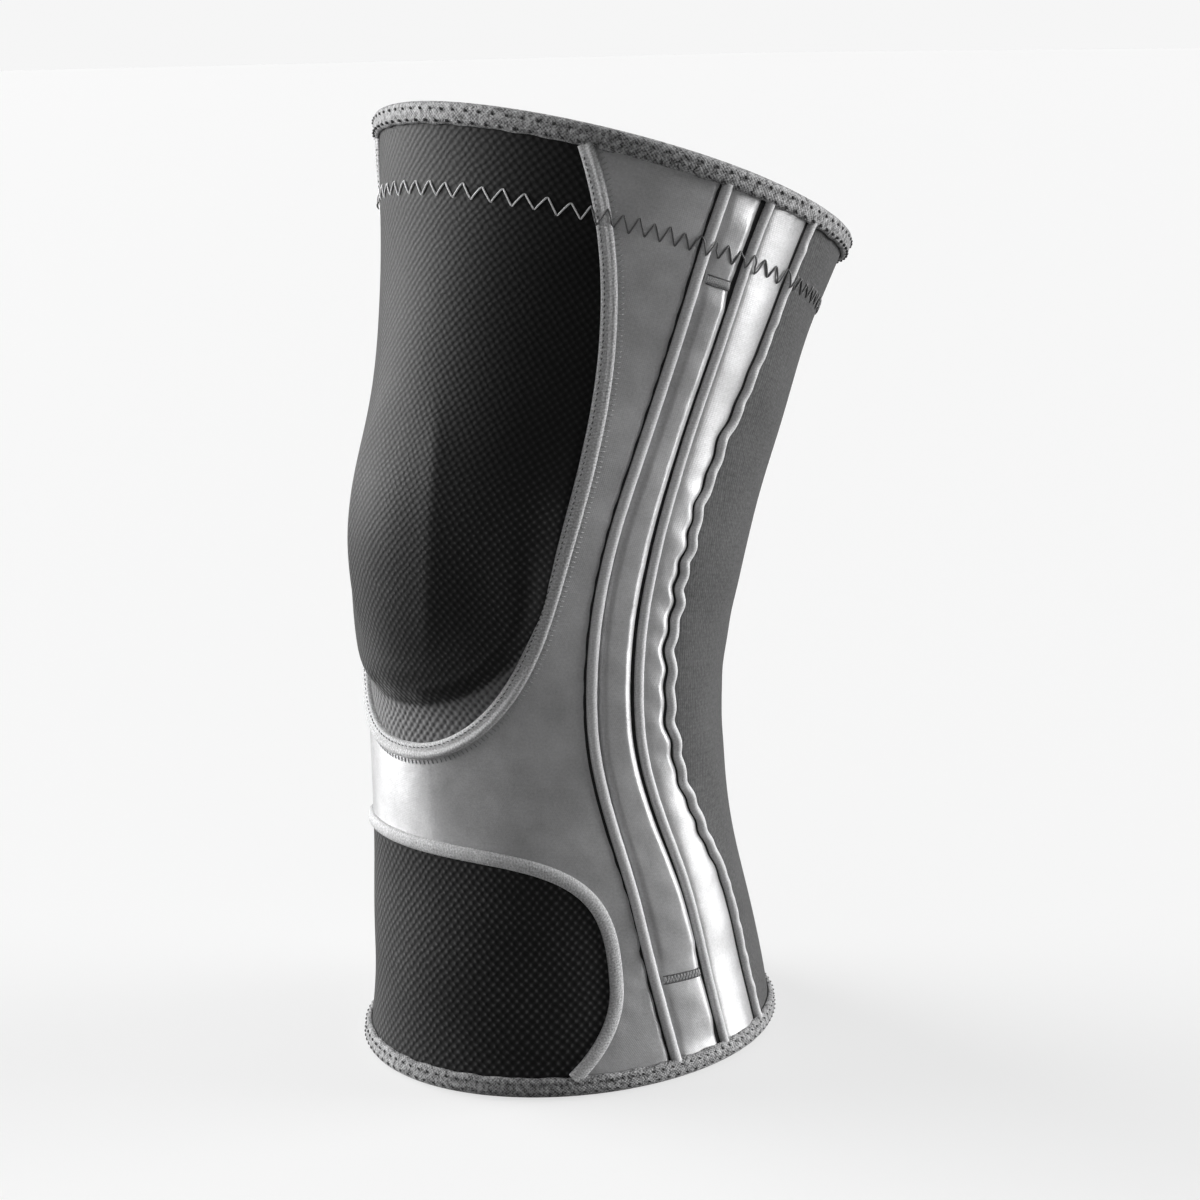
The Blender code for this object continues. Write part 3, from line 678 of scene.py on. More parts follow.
# Painted shade: a near-black bed under the pipings and window tapes that darkens the grooves beside them.
painted_groove_shade = material("painted_groove_shade", twisted_thread(0.006, 0.02), Roughness=0.9)
binding = material("binding", basket_weave(0.025, 0.60, 1.05), Specular_IOR_Level=0.4, Sheen_Weight=0.1)
lining = material("lining", ribbed_knit(1.6, 0.026, 0.064, 0.20), Specular_IOR_Level=0.25,
                  Sheen_Weight=0.25, Sheen_Roughness=0.6)
elastic = material("elastic", twill_tape(0.045, 0.11, 1.5, 0.10, 0.22), Specular_IOR_Level=0.4)
white_thread = material("white_thread", twisted_thread(0.50, 0.80), Roughness=0.55, Sheen_Weight=0.2)
grey_thread = material("grey_thread", twisted_thread(0.07, 0.19), Roughness=0.55)
pale_thread = material("pale_thread", twisted_thread(0.26, 0.50), Roughness=0.55)
dark_thread = material("dark_thread", twisted_thread(0.03, 0.09), Roughness=0.6)
gel = material("gel", moulded_gel, Specular_IOR_Level=0.5, Subsurface_Weight=0.15, Subsurface_Scale=0.004)
steel = material("steel", brushed_steel((6.0, 0.7, 1.0), 4, 0.50, 0.20), Metallic=1.0)
tip_steel = material("tip_steel", brushed_steel((900.0, 900.0, 90.0), 3, 0.48, 0.22, True), Metallic=1.0)


# Pieces

bending = []


def keep(thing, body, slot, *nodes):
    """Notes what a piece rides on: a body, or None for one that bends with the knee."""
    if nodes:
        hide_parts(*nodes)
    if body:
        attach(thing, body)
    else:
        bending.append(thing)


def keep_pair(thing, body, slot, node):
    """Keeps a left piece and the same piece on the right."""
    keep(thing, body, slot, node + "_left")
    keep(mirrored(thing), body, slot, node + "_right")


def weave_place(angle, height, meridian):
    """Places in the weave in millimetres: round the leg and up it along the line at an angle."""
    return np.radians(angle) * MEAN_RADIUS / MM, rise_mm(height, meridian)


def hollow(distance_mm, depth_mm, width_mm):
    """The dip of a panel towards a seam."""
    return -depth_mm * MM * bell(distance_mm, width_mm)


CREST_ACROSS_MM, CREST_RISE_MM, CREST_DRAW_IN = 22.3, 4, 0.0045


def make_kneecap_knit():
    t = np.concatenate((np.linspace(0, 0.3, 70), np.linspace(0.3, 1, 110)[1:]))
    edge_angle, height = (values[:, None] for values in kneecap_window(t))
    share = np.linspace(-1, 1, 109)
    angle, height = edge_angle * share, height + 0 * share
    u, v = weave_place(angle, height, 0)
    rise = v - BULGE_RISE_MM
    distance = np.hypot(u * BULGE_NARROWING, rise)
    within = BULGE_REACH_MM - distance
    downward = smooth_step((16 - rise) / 41)
    dome = smooth_step(within / 6)
    ridge = bell(within - 8, 5)
    fold = bell(within - 3.5, 2.8) * smooth_step((np.abs(u) - 5) / 10)
    sunk = smooth_step((3 - within) / 8)
    patella = bell(u, 21) * plateau(rise, -46, 42, 14, 40)
    to_crest = np.abs(u) - CREST_ACROSS_MM + CREST_DRAW_IN * (rise - CREST_RISE_MM) ** 2
    crest = np.exp(-np.hypot(to_crest, 1.5) / 7) * plateau(rise, -36, 56, 22, 26)
    side_swell = bell(np.abs(u) - 52, 9) * bell(rise - 2, 20)
    outside = (MM * (downward * (1.2 * dome + 0.7 * ridge + 1.1 * fold - 0.7 * sunk)
                     + 2.0 * patella + 1.5 * crest + 2.0 * side_swell)
               + hollow((1 - np.abs(share)) * edge_angle * 1.1, 0.5, 3))
    thing = cloth("kneecap_knit", [(angle, height, outside, u, v)], PANEL_THICKNESS, front_knit)
    keep(thing, None, "front_knit", "front_knit_kneecap")


def make_shin_knit():
    turn = np.linspace(-1, 1, 121)
    share = np.linspace(0, 1, 66)[:, None]
    head_angle, head_height = shin_line((turn + 1) / 2)
    foot_angle = (SHIN_RIM_ANGLE - 0.4) * turn
    angle = foot_angle + (head_angle - foot_angle) * share
    height = LOW_EDGE + (head_height - LOW_EDGE) * share
    u, v = weave_place(angle, height, 0)
    outside = 0.9 * MM * bell(height - 0.13, 0.07) * bell(angle, 38)
    thing = cloth("shin_knit", [(angle, height, outside, u, v)], PANEL_THICKNESS, front_knit)
    keep(thing, "shin", "front_knit", "front_knit_shin")


def satin_ends():
    """The satin's cross threads on the left: (angle, height) at the inner and at the outer end, and 1 for
    one that starts at a window or 0 on the strap."""
    low, high = np.linspace(0, 1, 105), np.linspace(0, 1, 154)
    inner = [np.stack(shin_window(low), -1), np.stack(kneecap_window(high), -1)]
    outer = [LOW_EDGE + (FAN_LOW - LOW_EDGE) * (1 - (1 - low) ** FAN_LOW_BEND),
             FAN_HIGH + (HIGH_EDGE - FAN_HIGH) * high**FAN_HIGH_BEND]
    share = np.linspace(0, 1, 28)[1:-1, None]
    strap_inner = inner[0][-1:] + (inner[1][:1] - inner[0][-1:]) * share
    strap_outer = outer[0][-1] + (outer[1][0] - outer[0][-1]) * share[:, 0]
    inner = np.concatenate((inner[0], strap_inner, inner[1]))
    inner[:, 0] = np.where(np.abs(inner[:, 0]) < 1e-9, 0.0, inner[:, 0])
    outer = np.concatenate((outer[0], strap_outer, outer[1]))
    at_window = np.repeat((1.0, 0.0, 1.0), (len(low), len(share), len(high)))
    return inner, front_seam(outer), at_window


def make_satin_wrap():
    inner, (outer_angle, outer_height), at_window = satin_ends()
    share = np.linspace(0, 1, 45)
    angle = inner[:, :1] + (outer_angle[:, None] - SEAM_GAP - inner[:, :1]) * share
    height = inner[:, 1:] + (outer_height[:, None] - inner[:, 1:]) * share
    width = np.linalg.norm(leg_point(outer_angle, outer_height) - leg_point(*inner.T), axis=1) / MM
    to_seam = width[:, None] * (1 - share)
    to_window = width[:, None] * share + 40 * (1 - at_window[:, None])
    u, v = weave_place(angle, height, 60)
    pucker = np.sin(v / 1.35 + 1.5 * np.sin(v / 9)) * np.exp(-to_seam / 4.5)
    low_wrinkles = np.sin((v - 0.25 * u) / 1.9) * bell(height - 0.15, 0.06) * bell(to_seam - 6, 7)
    tape_puckers = np.sin((v + 0.5 * u) / 1.6 + 1.2 * np.sin(v / 5)) * bell(to_window - 5, 4)
    outside = (hollow(to_seam, 0.9, 1.8) + hollow(to_window, 0.5, 2.4)
               + MM * smooth_step(to_seam / 4) * (0.14 * pucker + 0.28 * low_wrinkles
                                                  + 0.16 * tape_puckers * below(height, 0.34)))
    left = (angle, height, outside, u, v)
    right = tuple(part[:, ::-1] for part in (-angle, height, outside, -u, v))
    thing = cloth("satin_wrap_cloth", [left, right], PANEL_THICKNESS, satin)
    keep(thing, None, "satin", "satin_wrap")


def strip_grid(near, far, heights, shares):
    """Angles between two seams at each height, with the distances to both in millimetres."""
    near_angle, far_angle = near(heights)[0] + SEAM_GAP, far(heights)[0] - SEAM_GAP
    angle = near_angle[:, None] + (far_angle - near_angle)[:, None] * shares
    height = heights[:, None] + 0 * shares
    width = np.linalg.norm(leg_point(far_angle, heights) - leg_point(near_angle, heights), axis=1) / MM
    return angle, height, width[:, None] * shares, width[:, None] * (1 - shares)


def edge_shares(count, dense=0.75):
    """Shares from 0 to 1 that crowd towards both ends."""
    even = np.linspace(0, 1, count)
    return even + (0.5 - 0.5 * np.cos(np.pi * even) - even) * dense


def pocket_rise(height, to_front, to_middle):
    """How far the pocket stands out: a wedge, higher towards the middle seam, with a bevelled edge there
    that drops into the seam. Distances are in millimetres."""
    low, high = POCKET_RAISED
    full = plateau(height, low - POCKET_FADE, high + POCKET_FADE, POCKET_FADE, POCKET_FADE)
    off_rims = plateau(height, 0.03, 0.97, 0.03, 0.03)
    edges = smooth_step((to_front - 0.6) / 3.5) * smooth_step((to_middle - 1.3) / 0.9)
    wedge = (1.4 + 1.1 * below(height, 0.30)) * to_front / (to_front + to_middle)
    bevel = 0.42 * np.clip(4.0 - to_middle, 0, 1.8)
    tack = sum(bell(height - at, 0.012) for at in BAR_TACK_HEIGHTS.values())
    rise = edges * (0.3 + 0.9 * full + off_rims * (wedge - bevel) - 0.5 * tack)
    return MM * rise + hollow(to_front, 0.9, 1.9) + hollow(to_middle, 1.1, 2.3)


def make_stay_pocket():
    heights = np.linspace(LOW_EDGE, HIGH_EDGE, 300)
    angle, height, to_front, to_middle = strip_grid(front_seam, middle_seam, heights, edge_shares(37))
    u, v = weave_place(angle, height, 75)
    outside = pocket_rise(height, to_front, to_middle)
    outside += 0.05 * MM * np.sin(v / 1.9 + u / 3) * smooth_step(np.minimum(to_front, to_middle) / 4)
    thing = cloth("stay_pocket_cloth_left", [(angle, height, outside, u, v)], POCKET_THICKNESS, satin)
    keep_pair(thing, None, "satin", "stay_pocket")


def on_pocket(angle, height):
    """How far outside the pocket's face lies at places between its two seams."""
    mm_per_degree = np.radians(MEAN_RADIUS) / MM
    to_front = (angle - front_seam(height)[0]) * mm_per_degree
    to_middle = (middle_seam(height)[0] - angle) * mm_per_degree
    return pocket_rise(height, np.maximum(to_front, 0), np.maximum(to_middle, 0))


REAR_STRIP_CROWN_MM = 0.75


def make_rear_strip():
    heights = np.linspace(LOW_EDGE, HIGH_EDGE, 420)
    angle, height, to_middle, to_rear = strip_grid(middle_seam, rear_seam, heights, edge_shares(25, 0.5))
    u, v = weave_place(angle, height, 90)
    gathered = plateau(height, 0.30, 0.76, 0.10, 0.14)
    share = to_middle / (to_middle + to_rear)
    crown = np.sin(np.pi * share)
    crease = (np.sin(v / 1.9 + 2.4 * share + 1.3 * np.sin(v / 11))
              + 0.7 * np.sin(v / 1.2 - 2.0 * share + 2.2 + 1.1 * np.sin(v / 17)))
    bevel = 0.42 * np.clip(3.6 - to_rear, 0, 1.5)
    tilt = gathered * (1.5 * share - bevel) * smooth_step((to_rear - 1.2) / 0.9)
    drawn_in = gathered * (0.55 - 0.24 * crease * (0.4 + 0.6 * share))
    ripple = 0.08 * (1 - gathered) * np.sin(v / 3.1)
    outside = (MM * (tilt + crown * (REAR_STRIP_CROWN_MM - drawn_in + ripple))
               + hollow(to_middle, 1.0, 2.0) + hollow(to_rear, 1.0, 1.9))
    thing = cloth("rear_strip_cloth_left", [(angle, height, outside, u, v)], PANEL_THICKNESS, satin)
    keep_pair(thing, None, "satin", "rear_strip")


def make_rear_knit():
    heights = np.linspace(LOW_EDGE, HIGH_EDGE, 230)
    left = rear_seam(heights)[0] + SEAM_GAP
    share = edge_shares(97, 0.35)
    angle = left[:, None] + (360 - 2 * left)[:, None] * share
    height = heights[:, None] + 0 * share
    u, v = weave_place(angle, height, 180)
    width = np.radians(360 - 2 * left)[:, None] * MEAN_RADIUS / MM
    to_seam = np.minimum(share, 1 - share) * width
    folds = np.sin(v / 2.9 + 0.8 * np.sin(u / 19)) * bell(height - 0.46, 0.10) * bell(angle - 180, 40)
    puckers = np.sin(v / 1.9) * np.exp(-to_seam / 5)
    outside = hollow(to_seam, 0.9, 2.0) + MM * (0.45 * folds + 0.12 * puckers)
    thing = cloth("rear_knit_cloth", [(angle, height, outside, u, v)], PANEL_THICKNESS, rear_knit)
    keep(thing, None, "rear_knit", "rear_knit")


def piping_section(radius_mm, shift_mm, lean_mm):
    """A piping's roll on a near-black seam bed that paints the shade in the grooves beside it, as (across,
    outwards) in millimetres. The roll lies to one side of the bed's middle by a shift, and its crest leans
    further the same way."""
    roll = [(shift_mm + radius_mm * np.cos(a) + lean_mm * np.sin(a) ** 2, 0.30 + 1.35 * np.sin(a))
            for a in np.linspace(0, np.pi, 13)]
    return ([(2.5, -0.9), (2.45, -0.32), (shift_mm + radius_mm, -0.30)] + roll
            + [(shift_mm - radius_mm, -0.30), (-2.45, -0.32), (-2.5, -0.9)])


# What each face round a section is made of: 0 the tape or cord itself, 1 its near-black bed, painted shade
# for the grooves beside the roll.
PIPING_SLOTS = [1, 1] + [0] * 14 + [1] * 3
ROLL_SECTION = ([(2.9, -0.9), (2.85, -0.32), (2.15, -0.30)]
                + [(2.15 * np.cos(a), 0.35 + 1.35 * np.sin(a) ** 0.85) for a in np.linspace(0, np.pi, 15)]
                + [(-2.15, -0.30), (-2.45, -0.32), (-2.5, -0.9)])
ROLL_SLOTS = [1, 1] + [0] * 16 + [1] * 3
FOLDED_SECTION = [(3.0, -0.9), (2.95, -0.32), (2.3, -0.30), (2.3, 0.6), (2.1, 1.25), (1.6, 1.70), (1.0, 1.80),
                  (0.45, 1.60), (0.05, 1.20), (-0.3, 1.02), (-1.2, 0.98), (-1.9, 0.85), (-2.35, 0.5),
                  (-2.5, 0.0), (-2.5, -0.9)]
FOLDED_SLOTS = [1, 1] + [0] * 12 + [1]


def uneven(section, line_t, swell, seed):
    """The section at each place on a line, swelling and shrinking a little along it."""
    section = np.asarray(section, float)
    factor = 1 + swell * (np.sin(line_t * 170 + seed) + 0.6 * np.sin(line_t * 311 + 2 * seed)) / 1.6
    grown = np.repeat(section[None], len(line_t), axis=0)
    grown[..., 1] = np.where(grown[..., 1] > 0, grown[..., 1] * factor[:, None], grown[..., 1])
    return grown


def make_pipings():
    low, high = LOWER_BINDING_EDGE - 0.003, UPPER_BINDING_EDGE + 0.004
    for place, line, section, swell, count in (
            ("front", front_seam, piping_section(1.60, 0.05, 0.1), 0.04, 260),
            ("middle", middle_seam, piping_section(1.40, 0.85, 0.0), 0.04, 260),
            ("rear", rear_seam, piping_section(1.40, 0.6, 0.0), 0.12, 460)):
        t = np.linspace(low, high, count)
        where, _, side, out = rails(line, t)
        thing = sweep(f"piping_roll_{place}_left", where, side, out,
                      uneven(section, t, swell, len(place)), [cord, painted_groove_shade], slots=PIPING_SLOTS)
        keep_pair(thing, None, "tape", f"piping_{place}")


def end_under_binding(line, beyond):
    """How far along a window's line its tape starts, just under the binding."""
    t = np.linspace(0, 0.3, 3001)
    height = line(t)[1]
    from_below = height[0] < 0.5
    past = height >= LOWER_BINDING_EDGE - beyond if from_below else height <= UPPER_BINDING_EDGE + beyond
    return float(t[np.argmax(past)])


def make_window_tapes():
    for name, line, section, slots, body, node in (
            ("kneecap_tape", kneecap_line, FOLDED_SECTION, FOLDED_SLOTS, None, "kneecap_window_tape"),
            ("shin_tape", shin_line, ROLL_SECTION, ROLL_SLOTS, "shin", "shin_window_tape")):
        start = end_under_binding(line, 0.003)
        t = paced(line, start, 1 - start, 1.1 * MM)
        where, _, side, out = rails(line, t)
        thing = sweep(name, where, side, out, uneven(section, t, 0.05, 3), [tape, painted_groove_shade], slots=slots)
        keep(thing, body, "tape", node)
    start = end_under_binding(kneecap_line, -0.006)
    for name, stuff, slot, *sizes, lean in (
            ("kneecap_overlock", pale_thread, "thread", 1.5, 0, (2.5, 4.2), 0.10, 0.22, 0.35),
            ("kneecap_tape_stitches", dark_thread, "dark_thread", 1.7, 0.9, -1.5, 1.05, 0.16, 0.3)):
        keep(stitch_row(name, kneecap_line, *sizes, stuff, (start, 1 - start), lean), None, slot)


BINDING_REACH_MM, BINDING_OUTER_MM, BINDING_INNER_MM, BINDING_WALL_MM = 6.3, 1.9, -5.4, 1.0
BINDING_RUN_STRETCH = 1.12  # the weave round a binding against one round a leg of mean radius
RIMS = {"lower": (0.0, LOWER_BINDING_EDGE, "shin"), "upper": (1.0, UPPER_BINDING_EDGE, "thigh")}


def binding_section():
    """The U of a binding over a rim, as (distance from the rim, outside) points in millimetres."""
    reach, outer_mm, inner_mm = BINDING_REACH_MM, BINDING_OUTER_MM, BINDING_INNER_MM
    wall_mm = inner_mm + BINDING_WALL_MM
    outer = [(reach, 0.35), (reach + 0.05, 0.95), (reach - 0.35, 1.45), (reach - 1.2, outer_mm - 0.15),
             (reach * 0.65, outer_mm), (reach * 0.40, outer_mm), (1.5, outer_mm - 0.1), (0.8, outer_mm - 0.5),
             (0.25, outer_mm - 1.3), (0.0, 0.0), (0.0, -1.8), (0.0, -3.6), (0.25, inner_mm + 0.9),
             (0.8, inner_mm + 0.3), (1.5, inner_mm), (reach * 0.5, inner_mm - 0.1), (reach - 0.6, inner_mm),
             (reach, inner_mm + 0.4)]
    inside = [(reach, wall_mm), (1.4, wall_mm), (1.2, -2.2), (1.4, 0.35)]
    return np.array(outer + inside)


def make_bindings():
    turn = np.linspace(0, 360, 289)[:-1]
    run = np.radians(np.append(turn, 360)) * MEAN_RADIUS * BINDING_RUN_STRETCH / MM
    section = binding_section()
    reach = section[:, 0] / BINDING_REACH_MM
    wobble = 1 + 0.02 * np.sin(np.radians(turn) * 47) + 0.015 * np.sin(np.radians(turn) * 31 + 1)
    for name, (rim, edge, body) in RIMS.items():
        heights = rim + (edge - rim) * reach[None] * wobble[:, None]
        points = leg_point(turn[:, None], heights, section[None, :, 1] * MM)
        thing = finish_mesh(f"{name}_binding_tape", points.reshape(-1, 3),
                            *tube_faces(closed_run(section), run, len(turn)), binding, 60)
        turn_outwards(thing)
        keep(thing, body, "binding", f"{name}_binding")


def rim_line(rim, edge, distance_mm):
    """A line round the leg, read from 0 to 1, at a distance from a rim."""

    def read(t):
        angle = np.asarray(t, float) * 360
        per_mm = (edge - rim) / BINDING_REACH_MM
        return angle, np.full(np.shape(angle), rim + per_mm * distance_mm)

    return read


def make_binding_stitches():
    for name, radius, rows in (("upper", 0.40, ((1.9, 4.8, 1.15, 0), (5.2, 4.8, 1.15, 0.5))),
                               ("lower", 0.28, ((1.7, 3.4, 1.2, 0), (4.6, 3.4, 1.0, 0.25)))):
        rim, edge, body = RIMS[name]
        for count, (distance, pitch, length, offset) in enumerate(rows):
            line = rim_line(rim, edge, distance)
            keep(stitch_row(f"{name}_binding_stitches_{count + 1}", line, pitch, length, 0, 1.98, radius,
                            dark_thread, lean_mm=0.5, sink_mm=0.6, offset=offset - 0.25), body, "dark_thread")


def zigzag_lift(angle):
    """How far outside the cloth the zigzag thread lies, where it climbs over the tapes."""
    around = np.abs((angle + 180) % 360 - 180)
    crossings = [seam(ZIGZAG_HEIGHT)[0] for seam in (front_seam, middle_seam, rear_seam)]
    edge_angle, height = kneecap_window(np.linspace(0, 1, 401))
    crossings.append(np.interp(ZIGZAG_HEIGHT, height, edge_angle))
    lift = np.zeros_like(around)
    for crossing in crossings:
        lift = np.maximum(lift, 1.75 * smooth_step((3.1 - np.abs(around - crossing)) / 1.4))
    over_pocket = (around > crossings[0]) & (around < crossings[1])
    over_strip = (around > crossings[1]) & (around < crossings[2])
    lift = np.where(over_pocket, np.maximum(lift, on_pocket(around, ZIGZAG_HEIGHT) / MM), lift)
    return np.where(over_strip, np.maximum(lift, REAR_STRIP_CROWN_MM), lift)


def strokes(angle, height, swing_mm, points):
    """The strokes of a zigzag between corners at angles, with each point's share of its stroke."""
    share = np.linspace(0, 1, points)
    corners = height + np.where(np.arange(len(angle)) % 2, 1, -1) * swing_mm * MM / LEG_LENGTH
    return (angle[:-1, None] + np.diff(angle)[:, None] * share,
            corners[:-1, None] + np.diff(corners)[:, None] * share, share)


def make_zigzag():
    reach, steps = ZIGZAG_KNIT_REACH, ZIGZAG_OTHER_STEPS
    angle = np.concatenate((np.linspace(-reach, reach, ZIGZAG_KNIT_STEPS + 1),
                            np.linspace(reach, 360 - reach, steps + 1)[1:]))
    taller = np.where((angle > reach) & (angle < 360 - reach), ZIGZAG_TALLER, 1)
    uneven_share = ZIGZAG_UNEVEN * np.sin(np.linspace(0, 2 * np.pi * ZIGZAG_UNEVEN_WAVES, len(angle)))
    swing = ZIGZAG_SWING_MM / 2 * taller * (1 + uneven_share)
    angles, heights, share = strokes(angle, ZIGZAG_HEIGHT, swing, 9)
    outside = (0.26 - 0.5 * np.abs(2 * share - 1) ** 5 + zigzag_lift(angles)) * MM
    on_knit = np.abs((angles[:, 4] + 180) % 360 - 180) < reach + 2
    keep(threads("zigzag_thread", leg_point(angles, heights, outside), leg_normal(angles, heights),
                 ZIGZAG_RADIUS_MM, [grey_thread, white_thread], 8, on_knit),
         "thigh", "thread", "zigzag_stitch")


def make_bar_tacks():
    inset, strokes_each, half_height = np.degrees(3.0 * MM / MEAN_RADIUS), 24, 1.25 * MM / LEG_LENGTH
    for (end, height), body in zip(BAR_TACK_HEIGHTS.items(), ("shin", "thigh")):
        corners = np.linspace(front_seam(height)[0] + inset, middle_seam(height)[0] - inset, strokes_each + 1)
        angles, heights, share = strokes(corners, height, 1.15, 13)
        edge_angles = np.linspace(corners[0], corners[-1], 13)[None] + np.zeros((2, 1))
        edge_heights = height + np.array([[-1], [1]]) * half_height + np.zeros((1, 13))
        arch = np.concatenate((0.22 - 0.35 * np.abs(2 * share - 1) ** 3 + 0 * angles, 0.05 + 0 * edge_angles))
        angles = np.concatenate((angles, edge_angles))
        heights = np.concatenate((heights, edge_heights))
        paths = leg_point(angles, heights, arch * MM + on_pocket(angles, heights))
        is_pale = np.arange(len(angles)) < strokes_each
        keep_pair(threads(f"bar_tack_threads_{end}_left", paths, leg_normal(angles, heights), 0.24,
                          [dark_thread, pale_thread], 6, is_pale), body, "dark_thread", f"bar_tack_{end}")


def round_the_leg(name, heights, columns, outside, thickness, stuff):
    angle, height = np.broadcast_arrays(np.linspace(0, 360, columns), heights[:, None])
    u, v = weave_place(angle, height, 90)
    return cloth(name, [(angle, height, outside, u, v)], thickness, stuff)


def make_lining():
    thing = round_the_leg("lining_tube", np.linspace(LOW_EDGE, HIGH_EDGE, 120), 121, LINING_OUTSIDE,
                          LINING_THICKNESS, lining)
    keep(thing, None, "lining", "lining_shin", "lining_knee", "lining_thigh")


def make_elastic_band():
    heights = np.linspace(*BAND_HEIGHTS, 16)
    ribs = 0.12 * MM * np.cos(2 * np.pi * (heights - BAND_HEIGHTS[0]) / BAND_RIB_PITCH)
    thing = round_the_leg("elastic_band_web", heights, 145, BAND_OUTSIDE + ribs[:, None], BAND_THICKNESS,
                          elastic)
    keep(thing, "thigh", "elastic", "elastic_band")


def pad_line(t):
    turn = np.radians((2 * np.asarray(t) - 1) * PAD_HALF_SPAN)
    return (np.degrees(PAD_RADIUS * np.sin(turn) / MEAN_RADIUS),
            PAD_CENTRE - PAD_RADIUS * np.cos(turn) / LEG_LENGTH)


def make_kneecap_pad():
    t = np.linspace(0, 1, 97)
    where, _, side, out = rails(pad_line, t)
    to_end = np.minimum(t, 1 - t) * 2 * np.radians(PAD_HALF_SPAN) * PAD_RADIUS / MM
    taper = np.sqrt(np.clip(1 - (1 - np.clip(to_end / 4.5, 0, 1)) ** 2, 0.02, 1))[:, None]
    around = np.linspace(0, 2 * np.pi, 25)[:-1]
    across = np.sign(np.cos(around)) * np.abs(np.cos(around)) ** 0.8 * PAD_TUBE_RADIUS / MM
    outwards = np.sign(np.sin(around)) * np.abs(np.sin(around)) ** 0.9 * PAD_TUBE_RADIUS / MM * 0.92
    section = np.stack((across * taper, outwards * taper + PAD_OUTSIDE / MM), -1)
    keep(sweep("kneecap_gel_pad", where, side, out, section, gel, sharp=80), None, "gel", "kneecap_pad")


def stay_line(height):
    return (front_seam(height)[0] + middle_seam(height)[0]) / 2, height


def make_stays():
    steps = STAY_TURNS * STAY_STEPS_EACH
    height = np.linspace(STAY_LOW, STAY_HIGH, steps + 1)
    _, _, side, out = rails(stay_line, height)
    turn = 2 * np.pi * np.arange(steps + 1)[:, None] / STAY_STEPS_EACH
    wire = (leg_point(*stay_line(height), STAY_OUTSIDE) + side * STAY_WIDTH / 2 * np.cos(turn)
            + out * STAY_DEPTH / 2 * np.sin(turn))
    keep_pair(threads("stay_coil_left", wire[None], out[None], STAY_WIRE_RADIUS / MM, steel, taper=1.0),
              None, "steel", "stay_spring")


def finish_tips():
    for name in ("lower_left", "lower_right", "upper_left", "upper_right"):
        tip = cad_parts[f"stay_tip_{name}"].data.materials
        tip.clear()
        tip.append(tip_steel)


for make in (make_kneecap_knit, make_shin_knit, make_satin_wrap, make_stay_pocket, make_rear_strip,
             make_rear_knit, make_pipings, make_window_tapes, make_bindings, make_binding_stitches,
             make_zigzag, make_bar_tacks, make_lining, make_elastic_band, make_kneecap_pad, make_stays,
             finish_tips):
    make()

# The size that each sheet of cloth was cut to, in metres, its flat area where it isn't a rectangle, what
# it rests on and what is sewn to it. Each left one has a right one like it.
BINDING_TAPES = ("lower_binding_tape", "upper_binding_tape")
SHEETS = (
    ("kneecap_knit", (0.135, 0.185), 0.0200, ("lining_tube",),
     ("kneecap_tape", "kneecap_overlock", "kneecap_tape_stitches")),
    ("shin_knit", (0.142, 0.070), 0.0088, ("lining_tube",), ("shin_tape",)),
    ("satin_wrap_cloth", (0.175, 0.275), 0.0149, ("lining_tube",),
     ("piping_roll_front_left", "piping_roll_front_right")),
    ("stay_pocket_cloth_left", (0.020, 0.275), 0.0048, ("stay_coil_left",),
     ("bar_tack_threads_lower_left", "bar_tack_threads_upper_left")),
    ("rear_strip_cloth_left", (0.021, 0.300), 0.0050, ("lining_tube",), ("piping_roll_middle_left",)),
    ("rear_knit_cloth", (0.205, 0.265), 0.0405, ("lining_tube",),
     ("piping_roll_rear_left", "piping_roll_rear_right")),
    ("lining_tube", (0.360, 0.268), None, BINDING_TAPES, BINDING_TAPES),
    ("elastic_band_web", (0.420, 0.022), None, ("lining_tube",), ("zigzag_thread",)),
)
for name, flat, area, under, sewn_on in SHEETS:
    for side in ("left", "right") if name.endswith("_left") else ("left",):
        under, sewn_on = ([other.replace("left", side) for other in others] for others in (under, sewn_on))

knee_place = Vector((0, *centre_line(KNEE_HEIGHT)))
for thing in bending:
    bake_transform(thing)


# Camera, light and floor

CAMERA_TARGET = Vector((0, -0.0124, 0.145))
CAMERA_AZIMUTH, CAMERA_ELEVATION, CAMERA_ROLL = 50.0, 12.6, -1.0
CAMERA_DISTANCE = 0.775
CAMERA_LENS, CAMERA_SENSOR, CAMERA_SHIFT = 73.5, 36.0, (0.0278, -0.0128)
# Each light's azimuth, elevation, strength and spread in degrees.
LIGHTS = {"key_left": (-62, 6, 9.0, 56), "key_right": (147, 6, 6.0, 38), "top": (20, 80, 0.5, 90)}
BACKDROP, AMBIENT, FLOOR_GLOW, FLOOR_GREY = 0.92, 0.14, 0.66, 0.25
FLOOR_SIZE, FLOOR_GAP = 60, 0.0002


def towards(azimuth, elevation):
    """The direction out to a place seen at an azimuth (0 in front, 90 on the left) and elevation."""
    azimuth, elevation = np.radians(azimuth), np.radians(elevation)
    return Vector((np.sin(azimuth) * np.cos(elevation), -np.cos(azimuth) * np.cos(elevation),
                   np.sin(elevation)))


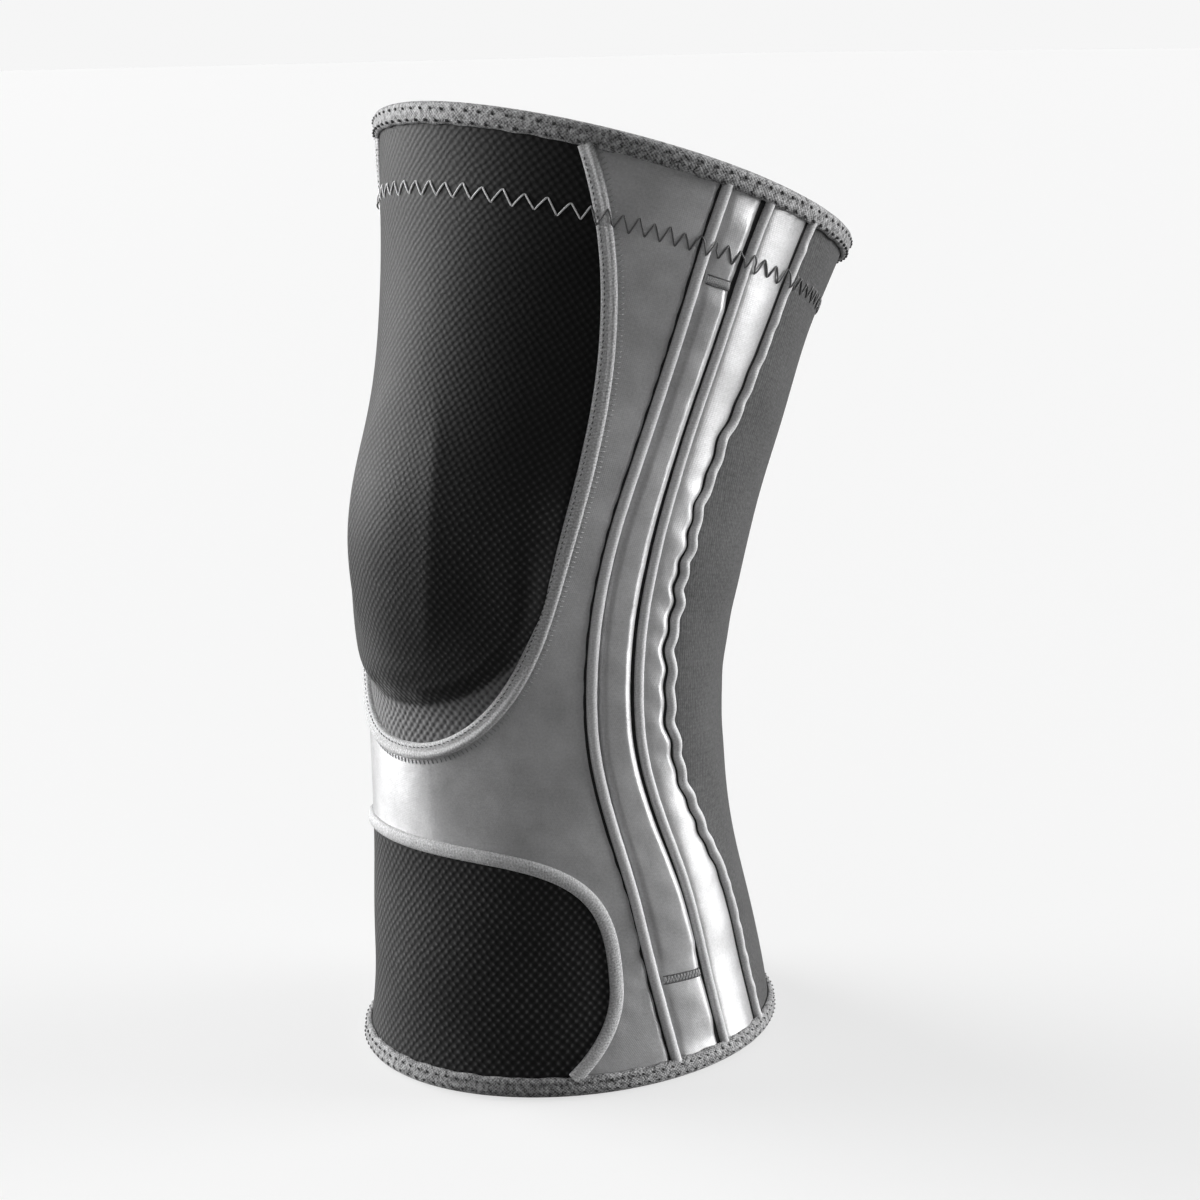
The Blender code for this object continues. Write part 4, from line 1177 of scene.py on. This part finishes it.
def make_camera():
    data = bpy.data.cameras.new("camera")
    data.sensor_width, data.lens = CAMERA_SENSOR, CAMERA_LENS
    data.shift_x, data.shift_y = CAMERA_SHIFT
    camera = bpy.data.objects.new("camera", data)
    back = towards(CAMERA_AZIMUTH, CAMERA_ELEVATION)
    right = Vector((np.cos(np.radians(CAMERA_AZIMUTH)), np.sin(np.radians(CAMERA_AZIMUTH)), 0))
    up = back.cross(right)
    roll = np.radians(CAMERA_ROLL)
    axes = (right * np.cos(roll) + up * np.sin(roll), up * np.cos(roll) - right * np.sin(roll), back)
    camera.matrix_world = (Matrix.Translation(CAMERA_TARGET + back * CAMERA_DISTANCE)
                           @ Matrix(axes).transposed().to_4x4())
    scene.collection.objects.link(camera)
    scene.camera = camera


def make_lights():
    for name, (azimuth, elevation, strength, spread) in LIGHTS.items():
        data = bpy.data.lights.new(name, "SUN")
        data.energy, data.angle = strength, np.radians(spread)
        light = bpy.data.objects.new(name, data)
        light.rotation_euler = towards(azimuth, elevation).to_track_quat("Z", "Y").to_euler()
        scene.collection.objects.link(light)


def seen_by_camera(tree):
    return Value(tree, add(tree, "LightPath").outputs["Is Camera Ray"])


def make_backdrop():
    world = bpy.data.worlds.new("studio")
    world.use_nodes = True
    tree = world.node_tree
    background = tree.nodes["Background"].inputs
    background["Color"].default_value = (1, 1, 1, 1)
    strength = seen_by_camera(tree) * (BACKDROP - AMBIENT) + AMBIENT
    tree.links.new(strength.socket, background["Strength"])
    scene.world = world
    scene.view_settings.view_transform = "Standard"
    scene.view_settings.look = "None"


def make_floor():
    bpy.ops.mesh.primitive_plane_add(size=FLOOR_SIZE, location=(0, 0, -FLOOR_GAP))
    floor = bpy.context.object
    floor.name = "floor"
    pale = bpy.data.materials.new("floor")
    pale.use_nodes = True
    shader = pale.node_tree.nodes["Principled BSDF"].inputs
    shader["Base Color"].default_value = (FLOOR_GREY, FLOOR_GREY, FLOOR_GREY, 1)
    shader["Roughness"].default_value = 0.9
    shader["Specular IOR Level"].default_value = 0.1
    shader["Emission Color"].default_value = (1, 1, 1, 1)
    glow = seen_by_camera(pale.node_tree) * FLOOR_GLOW
    pale.node_tree.links.new(glow.socket, shader["Emission Strength"])
    floor.data.materials.append(pale)


make_camera()
make_lights()
make_backdrop()
make_floor()
